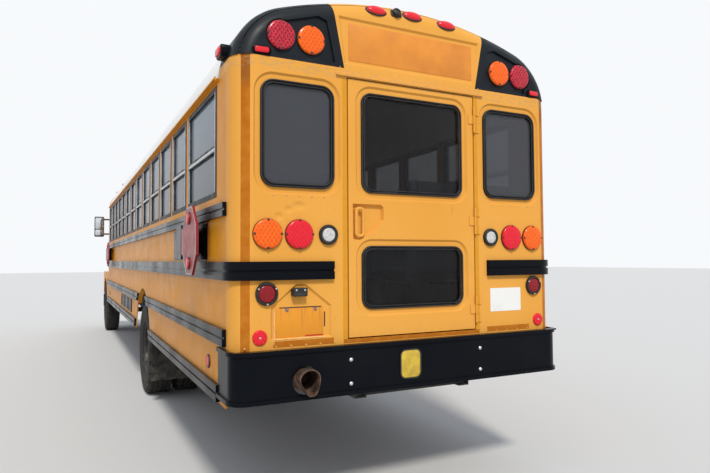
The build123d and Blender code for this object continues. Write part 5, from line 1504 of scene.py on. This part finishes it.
# round reflectors on the skirts, marker lamps along the roof edge
reflector = {
    "height": 0.908,
    # lens radius and rise, width and rise of the rim
    "sizes": (0.036, 0.010, 0.007, 0.009),
    "places": {"lamp_red": {1: 5.349, -1: 5.349}, "amber_lens": {1: -3.62, -1: -3.15}},
}
reflectors, reflectorRims = {"lamp_red": [], "amber_lens": []}, []
for finish, places in reflector["places"].items():
    for side, along in places.items():
        spot = (side * flank["plane"], along, reflector["height"])
        lens, rim = smallLamp(spot, (side, 0, 0), *reflector["sizes"])
        reflectors[finish].append(lens)
        reflectorRims.append(rim)
dress(joined("redReflectors", reflectors["lamp_red"]), "lamp_red")
dress(joined("amberReflectors", reflectors["amber_lens"]), "amber_lens")
dress(joined("reflectorRims", reflectorRims), "rubber_black")

roofMarks = {
    "angle": 42,
    "corner": (0.765, 2.660),
    "cornerRadius": 0.430,
    "places": ((5.30, "lamp_red"), (-2.22, "amber_lens"), (-3.60, "amber_lens")),
    # columns: width and height, corner, thickness, lift, bevel
    "base": ((0.105, 0.044), 0.012, 0.007, -0.002, 0.002),
    "lens": ((0.082, 0.030), 0.010, 0.014, 0.004, 0.006),
}


def eavePlate(key, side, along):
    # a plate on the rounded roof edge, facing out from it
    size, corner, thick, lift, bevel = roofMarks[key]
    turn = math.radians(roofMarks["angle"])
    facing = Vector((side * math.cos(turn), 0, math.sin(turn)))
    across, height = roofMarks["corner"]
    place = Vector((side * across, along, height)) + facing * (roofMarks["cornerRadius"] + lift)
    return rounded(key, size, corner, thick, place, facing, bevel)


markLenses, markBases = {"lamp_red": [], "amber_lens": []}, []
for side in (1, -1):
    for along, finish in roofMarks["places"]:
        markBases.append(eavePlate("base", side, along))
        markLenses[finish].append(eavePlate("lens", side, along))
dress(joined("roofMarksRed", markLenses["lamp_red"]), "lamp_red")
dress(joined("roofMarksAmber", markLenses["amber_lens"]), "amber_lens")
dress(joined("roofMarkBases", markBases), "rubber_black")
print("stage: blackSheet, vent, reflectors and roof markers")

# stop arms: a pale border and two flashing lamps on each face of the octagon
stopArm = {
    "reach": 0.457 / 2,
    "hinges": {"rear": 4.870, "front": -3.320},
    "middle": 0.060 + 0.457 / 2,
    "height": 1.682,
    "faces": ((1.272, -1), (1.288, 1)),
    "edge": 0.004,
    "border": 0.009,
    "borderRise": 0.0012,
    "lampSteps": (0.150, -0.150),
    # lens radius and rise, width and rise of the rim
    "lamp": (0.036, 0.016, 0.007, 0.008),
}


def octagonBorder(place, way):
    letGo()
    radius = stopArm["reach"] / math.cos(math.pi / 8) - stopArm["edge"]
    bpy.ops.mesh.primitive_circle_add(vertices=8, radius=radius, fill_type="NGON")
    border = moved(bpy.context.object, turnAbout(22.5, "Z"))
    editing(border, "FACE", "SELECT")
    bpy.ops.mesh.inset(thickness=stopArm["border"])
    bpy.ops.mesh.delete(type="FACE")
    bpy.ops.mesh.select_all(action="SELECT")
    bpy.ops.mesh.extrude_region_move(TRANSFORM_OT_translate={"value": (0, 0, stopArm["borderRise"])})
    finished()
    return moved(closedOutward(border), place, turnAbout(way * 90, "Y"))


for name, hinge in stopArm["hinges"].items():
    body, title = "stop_arm_" + name, name.capitalize()
    borders, lamps, rims = [], [], []
    for face, way in stopArm["faces"]:
        place = (face, hinge + stopArm["middle"], stopArm["height"])
        borders.append(octagonBorder(place, way))
        for rise in stopArm["lampSteps"]:
            lens, rim = smallLamp((*place[:2], place[2] + rise), (way, 0, 0), *stopArm["lamp"])
            lamps.append(lens)
            rims.append(rim)
    dress(joined("stopBorder" + title, borders), "edge_white", body)
    dress(joined("stopLamps" + title, lamps), "lamp_red", body)
    dress(joined("stopLampRims" + title, rims), "rubber_black", body)
print("stage: stop arms")

# front: screen post, gasket and wipers, laid out flat and then set on the leaning screen
screen = {
    "foot": Vector((0, -4.230, 1.800)),
    "head": Vector((0, -4.100, 2.700)),
    "half": 1.090,
    "margin": 0.070,
    "lap": 0.03,
    "post": (0.022, -0.020, 0.006),
}
screenUp = (screen["head"] - screen["foot"]).normalized()
screenOut = Vector((1, 0, 0)).cross(screenUp)
screenMiddle = (screen["foot"] + screen["head"]) / 2
openHalf = (screen["head"] - screen["foot"]).length / 2 - screen["margin"]
screenTurn = Matrix((Vector((1, 0, 0)), screenUp, screenOut)).transposed().to_4x4()


def onScreen(piece):
    return moved(piece, screenMiddle, screenTurn)


opening = (2 * screen["half"] + screen["lap"], 2 * openHalf + screen["lap"])
gasket = ringed("gasket", opening, 0.03, 0.030, 0.010, screenMiddle, screenOut)
half, back, front = screen["post"]
post = onScreen(block("post", (-half, -openHalf, back), (half, openHalf, front), 0.005))
dress(joined("screenGasket", [gasket, post]), "rubber_black")
wiper = {
    "across": 0.36,
    # columns: half length, low and high edge, back and front, bevel
    "bars": ((0.29, -0.352, -0.343, -0.0195, -0.004, 0.002), (0.16, -0.354, -0.341, -0.006, 0.003, 0.003)),
    "pivotStep": 0.26,
    "pivotUp": -0.470,
    "arm": ((-0.006, 0, -0.004), (0.006, 0.30, 0.004), 0.003),
    "armLift": 0.012,
    "armTurn": 66,
    "pivot": [(0, -0.012), (0.017, -0.012), (0.017, 0.014), (0.012, 0.020), (0, 0.021)],
}
wipers = []
for middle in (wiper["across"], -wiper["across"]):
    for half, low, high, back, front, bevel in wiper["bars"]:
        wipers.append(onScreen(block("bar", (middle - half, low, back), (middle + half, high, front), bevel)))
    across, up = middle + wiper["pivotStep"], wiper["pivotUp"]
    arm = moved(block("arm", *wiper["arm"]), (across, up, wiper["armLift"]), turnAbout(wiper["armTurn"], "Z"))
    pivot = turned("pivot", wiper["pivot"], (across, up, 0), (0, 0, 1), 16)
    wipers += [onScreen(arm), onScreen(pivot)]
dress(joined("wipers", wipers), "rubber_black")

# warning and marker lamps on the front cap, which rises in an arc from the screen's head to the roof
frontBrow = {
    "points": ((-4.120, 2.760), (-4.050, 3.025), (-3.850, 3.220)),
    "lampZ": 2.885,
    "lamps": ((0.915, "lamp_red"), (0.715, "amber_lens")),
    "radius": 0.089,
    "lensShare": 0.97,
    "rise": 0.026,
    "lensFoot": 0.008,
    "steps": 36,
    # columns: share of the radius, height
    "base": ((0, -0.004), (1.06, -0.004), (1.06, 0.010), (0.98, 0.012), (0, 0.012)),
    # columns: across, height, how far below its place
    "markers": ((0.27, 3.075, 0), (0, 3.075, 0), (0.93, 3.0, 0.012)),
    "marker": (0.058, 0.026, 0.018),
    "markerRim": (0.066, 0.033, 0.009),
    "rimSunk": 0.001,
}


def circleThrough(first, second, third):
    (ax, ay), (bx, by), (cx, cy) = first, second, third
    d = 2 * (ax * (by - cy) + bx * (cy - ay) + cx * (ay - by))
    squares = [x * x + y * y for x, y in (first, second, third)]
    ux = (squares[0] * (by - cy) + squares[1] * (cy - ay) + squares[2] * (ay - by)) / d
    uy = (squares[0] * (cx - bx) + squares[1] * (ax - cx) + squares[2] * (bx - ax)) / d
    return ux, uy, math.hypot(ax - ux, ay - uy)


browY, browZ, browRadius = circleThrough(*frontBrow["points"])


def onFrontBrow(across, height):
    drop = -math.sqrt(browRadius**2 - (height - browZ) ** 2)
    facing = Vector((0, drop / browRadius, (height - browZ) / browRadius))
    return Vector((across, browY + drop, height)), facing


frontLenses, frontBases = {"lamp_red": [], "amber_lens": []}, []
radius, steps = frontBrow["radius"], frontBrow["steps"]
base = [(radius * share, height) for share, height in frontBrow["base"]]
lens = lensProfile(radius * frontBrow["lensShare"], frontBrow["rise"], frontBrow["lensFoot"])
for across, finish in frontBrow["lamps"]:
    place, facing = onFrontBrow(across, frontBrow["lampZ"])
    frontBases.append(turned("base", base, place, facing, steps))
    frontLenses[finish].append(turned("lens", lens, place, facing, steps))
for across, height, drop in frontBrow["markers"]:
    place, facing = onFrontBrow(across, height)
    place.z -= drop
    shape = domeOn("marker", frontBrow["marker"], place, facing)
    rim = domeOn("rim", frontBrow["markerRim"], place - facing * frontBrow["rimSunk"], facing)
    if across:
        frontLenses["amber_lens"].append(shape)
        frontBases.append(rim)
    else:
        dress(shape, "amber_lens").name = "frontMiddleMarker"
        dress(rim, "rubber_black").name = "frontMiddleRim"
dress(mirrored("frontRedLenses", frontLenses["lamp_red"]), "red_lens")
dress(mirrored("frontAmberLenses", frontLenses["amber_lens"]), "amber_lens")
dress(mirrored("frontLampBases", frontBases), "rubber_black")
print("stage: screen, wipers and front lamps")

# a dark plate on the back of the grille is painted shade: it keeps the engine bay dark
grilleLow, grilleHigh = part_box("grille")
grilleShadePlate = {"margin": 0.006, "gap": 0.0002, "thick": 0.004, "bevel": 0.001}
margin = grilleShadePlate["margin"]
low = (grilleLow.x + margin, grilleHigh.y + grilleShadePlate["gap"], grilleLow.z + margin)
high = (grilleHigh.x - margin, grilleHigh.y + grilleShadePlate["thick"], grilleHigh.z - margin)
mesh = block("grilleShadePlate", low, high, grilleShadePlate["bevel"], 1)
dress(mesh, "cap_black", "hood")

# headlamps: a dark pod with two square lenses in a bright bezel, and a turn lamp on each fender's corner
headLow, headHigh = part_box("headlamps")
headlamp = {
    "span": (0.600, 0.900),
    "face": -5.9805,
    "edge": 0.001,
    "bezel": ((0.318, 0.178), 0.024, 0.016, 0.010),
    "bar": ((0.012, 0.15), 0.003, 0.010),
    "lens": ((0.124, 0.124), 0.016, 0.009),
    "lensSteps": (-0.070, 0.070),
}
frontOut = (0, -1, 0)
(inner, outer), face, edge = headlamp["span"], headlamp["face"], headlamp["edge"]
middle = Vector(((inner + outer) / 2, face, (headLow.z + headHigh.z) / 2))
low, high = (inner + edge, face, headLow.z + edge), (outer - edge, headHigh.y, headHigh.z - edge)
pod = block("pod", low, high, 0.004)
bezel = ringed("bezel", *headlamp["bezel"], middle, frontOut)
bar = rounded("bar", *headlamp["bar"], middle, frontOut)
lenses = []
for step in headlamp["lensSteps"]:
    lenses.append(rounded("lens", *headlamp["lens"], middle + Vector((step, 0, 0)), frontOut, 0.004))
podPiece = dress(mirrored("headlampPods", [pod]), "black_gloss", "hood")
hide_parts("headlamps")
dress(mirrored("headlampLenses", lenses), "clear_lens", "hood")
dress(mirrored("headlampBezels", [bezel, bar]), "aluminium", "hood")

turnLamp = {
    "turn": 18,
    "corner": Vector((0.953, -5.740, 0.985)),
    "reach": 0.240 - 0.003,
    "lens": ((0.105, 0.070), 0.018, 0.016),
    "rim": ((0.125, 0.090), 0.024, 0.011, 0.010),
}
cornerTurn = math.radians(turnLamp["turn"])
facing = Vector((math.sin(cornerTurn), -math.cos(cornerTurn), 0))
place = turnLamp["corner"] + facing * turnLamp["reach"]
lens = rounded("turnLamp", *turnLamp["lens"], place, facing, 0.007)
rim = ringed("turnRim", *turnLamp["rim"], place, facing)
dress(mirrored("turnLamps", [lens]), "amber_lens", "hood")
dress(mirrored("turnLampRims", [rim]), "rubber_black", "hood")

# columns: width and height, corner, thickness, height of its place, bevel
latchPlates = (((0.034, 0.120), 0.012, 0.010, 1.120, 0.004), ((0.055, 0.040), 0.010, 0.006, 1.165, 0.002))
hoodLatches = []
for size, corner, thick, height, bevel in latchPlates:
    place = (1.1925, -4.330, height)
    hoodLatches.append(rounded("latch", size, corner, thick, place, (1, 0, 0), bevel))
dress(mirrored("hoodLatches", hoodLatches), "rubber_black", "hood")

# mirrors: a housing, its glass, and two arms to the front cap
mirrorLow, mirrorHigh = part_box("mirrors")
mirror = {
    "inner": 1.280,
    "rear": -4.350,
    "glassPlates": (((0.158, 0.235), 2.355), ((0.158, 0.120), 2.158)),
    "glassSunk": 0.0005,
    "armHeights": (2.440, 2.130),
    "armRadius": 0.016,
    "armStart": 0.012,
    "foot": 1.115,
    "footWidth": 0.035,
    "footHalf": 0.020,
    "footInset": 0.010,
    "footGap": 0.0003,
}
front, rear = mirrorLow.y, mirror["rear"]
middleX = (mirror["inner"] + mirrorHigh.x) / 2
head = block("head", (mirror["inner"], front, mirrorLow.z), (mirrorHigh.x, rear, mirrorHigh.z), 0.022, 3)
glass = []
for size, height in mirror["glassPlates"]:
    place = (middleX, rear - mirror["glassSunk"], height)
    glass.append(rounded("glass", size, 0.02, 0.002, place, rearOut, 0.0008))
arms = []
lean = (screen["head"].y - screen["foot"].y) / (screen["head"].z - screen["foot"].z)
foot, tall = mirror["foot"], mirror["footHalf"]
length = middleX - foot
for height in mirror["armHeights"]:
    sizes = (mirror["armRadius"], mirror["armRadius"], length, length)
    place = (foot + mirror["armStart"], (front + rear) / 2, height)
    arms.append(button("arm", sizes, place, (1, 0, 0), 16))
    seat = screen["foot"].y + (height - tall - screen["foot"].z) * lean
    high = (foot + mirror["footWidth"], seat - mirror["footGap"], height + tall)
    arms.append(block("foot", (foot, front + mirror["footInset"], height - tall), high, 0.004))
headPiece = dress(mirrored("mirrorHeads", [head]), "trim_plastic")
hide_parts("mirrors")
dress(mirrored("mirrorArms", arms), "rubber_black")
dress(mirrored("mirrorGlass", glass), "mirror_glass")
print("stage: headlamps and mirrors")

# seats: one cushion and one back, swollen by a short cloth simulation, seamed, and copied to each row
seats = {
    "rearBack": 5.570,
    "pitch": 0.711,
    "rows": 12,
    "middle": 0.6555,
    "cushion": (0.962, 0.372, 0.090),
    "cushionPlace": (-0.232, 1.4345),
    "back": (0.962, 0.054, 0.735),
    "backPlace": (-0.036, 1.775),
    "lean": 0.078,
    "roundShare": 0.22,
    "voxel": 0.034,
    "pressure": 4,
    "steps": 20,
    "swell": 0.010,
    "seamInset": 0.085,
    "seamHalf": 0.007,
    "seamDepth": 0.006,
    # columns: size, place
    "driver": (
        ((0.425, 0.405, 0.086), (0.620, -3.335, 1.500)),
        ((0.425, 0.078, 0.790), (0.620, -3.070, 1.860)),
    ),
}


def padForm(name, size):
    # a block with soft edges, remeshed, then swollen from inside with no gravity
    low, high = [-side / 2 for side in size], [side / 2 for side in size]
    pad = block(name, low, high, min(size) * seats["roundShare"], 2)
    grid = pad.modifiers.new("grid", "REMESH")
    grid.mode = "VOXEL"
    grid.voxel_size = seats["voxel"]
    applyAll(pad)
    start = [vertex.co.copy() for vertex in pad.data.vertices]
    cloth = pad.modifiers.new("swell", "CLOTH")
    cloth.settings.use_pressure = True
    cloth.settings.uniform_pressure_force = seats["pressure"]
    cloth.settings.effector_weights.gravity = 0
    scene = bpy.context.scene
    for step in range(1, seats["steps"] + 1):
        scene.frame_set(step)
    swollen = pad.evaluated_get(bpy.context.evaluated_depsgraph_get()).to_mesh()
    ends = [vertex.co.copy() for vertex in swollen.vertices]
    pad.modifiers.remove(cloth)
    scene.frame_set(1)
    for vertex, old, new in zip(pad.data.vertices, start, ends):
        move = new - old
        vertex.co = old + move * min(1, seats["swell"] / max(move.length, 0.000001))
    return pad


def seamed(name, size):
    # a sewn line runs round the pad near each end, pulled in between two edges
    pad = padForm(name, size)
    for side in (1, -1):
        middle = side * (size[0] / 2 - seats["seamInset"])
        for place in (middle - seats["seamHalf"], middle, middle + seats["seamHalf"]):
            editing(pad, action="SELECT")
            bpy.ops.mesh.bisect(plane_co=(place, 0, 0), plane_no=(1, 0, 0))
            finished()
        for vertex in pad.data.vertices:
            if abs(vertex.co.x - middle) < 0.0005:
                vertex.co -= vertex.normal * seats["seamDepth"]
    return smoothed(pad, 60)


cushionModel = seamed("cushionModel", seats["cushion"])
backModel = seamed("backModel", seats["back"])
for vertex in backModel.data.vertices:
    vertex.co.y += vertex.co.z * seats["lean"]
benches = []
padPlaces = ((cushionModel, seats["cushionPlace"]), (backModel, seats["backPlace"]))
for side in (1, -1):
    for row in range(seats["rows"]):
        for model, (along, height) in padPlaces:
            y = seats["rearBack"] - seats["pitch"] * row + along
            benches.append(copied(model, (side * seats["middle"], y, height)))
for size, place in seats["driver"]:
    benches.append(moved(smoothed(padForm("driverPad", size), 60), place))
bpy.data.objects.remove(cushionModel)
bpy.data.objects.remove(backModel)
seatPads = dress(joined("seatPads", benches), "seat_vinyl")
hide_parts("seat_cushions")
print("stage: seats")

# steering wheel: a round grip, two spokes and a hub on its column
wheelSetup = {
    "centre": (0.620, -3.750, 1.720),
    "tilt": -35,
    "grip": {"major_radius": 0.225, "minor_radius": 0.016, "major_segments": 56, "minor_segments": 12},
    "spokes": ((-0.225, -0.018, -0.011), (0.225, 0.018, 0.009), 0.005),
    "hub": [
        (0, -0.130), (0.024, -0.130), (0.024, -0.03), (0.052, -0.012), (0.055, 0.006), (0.048, 0.012),
        (0, 0.014),
    ],
}
letGo()
bpy.ops.mesh.primitive_torus_add(**wheelSetup["grip"])
grip = smoothed(bpy.context.object, 60)
hub = turned("hub", wheelSetup["hub"], (0, 0, 0), (0, 0, 1), 28)
steering = joined("steeringGrip", [grip, block("spokes", *wheelSetup["spokes"]), hub])
moved(steering, wheelSetup["centre"], turnAbout(wheelSetup["tilt"], "X"))
dress(steering, "rubber_black", "steering_wheel")
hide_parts("steering_wheel")
print("stage: steering wheel")
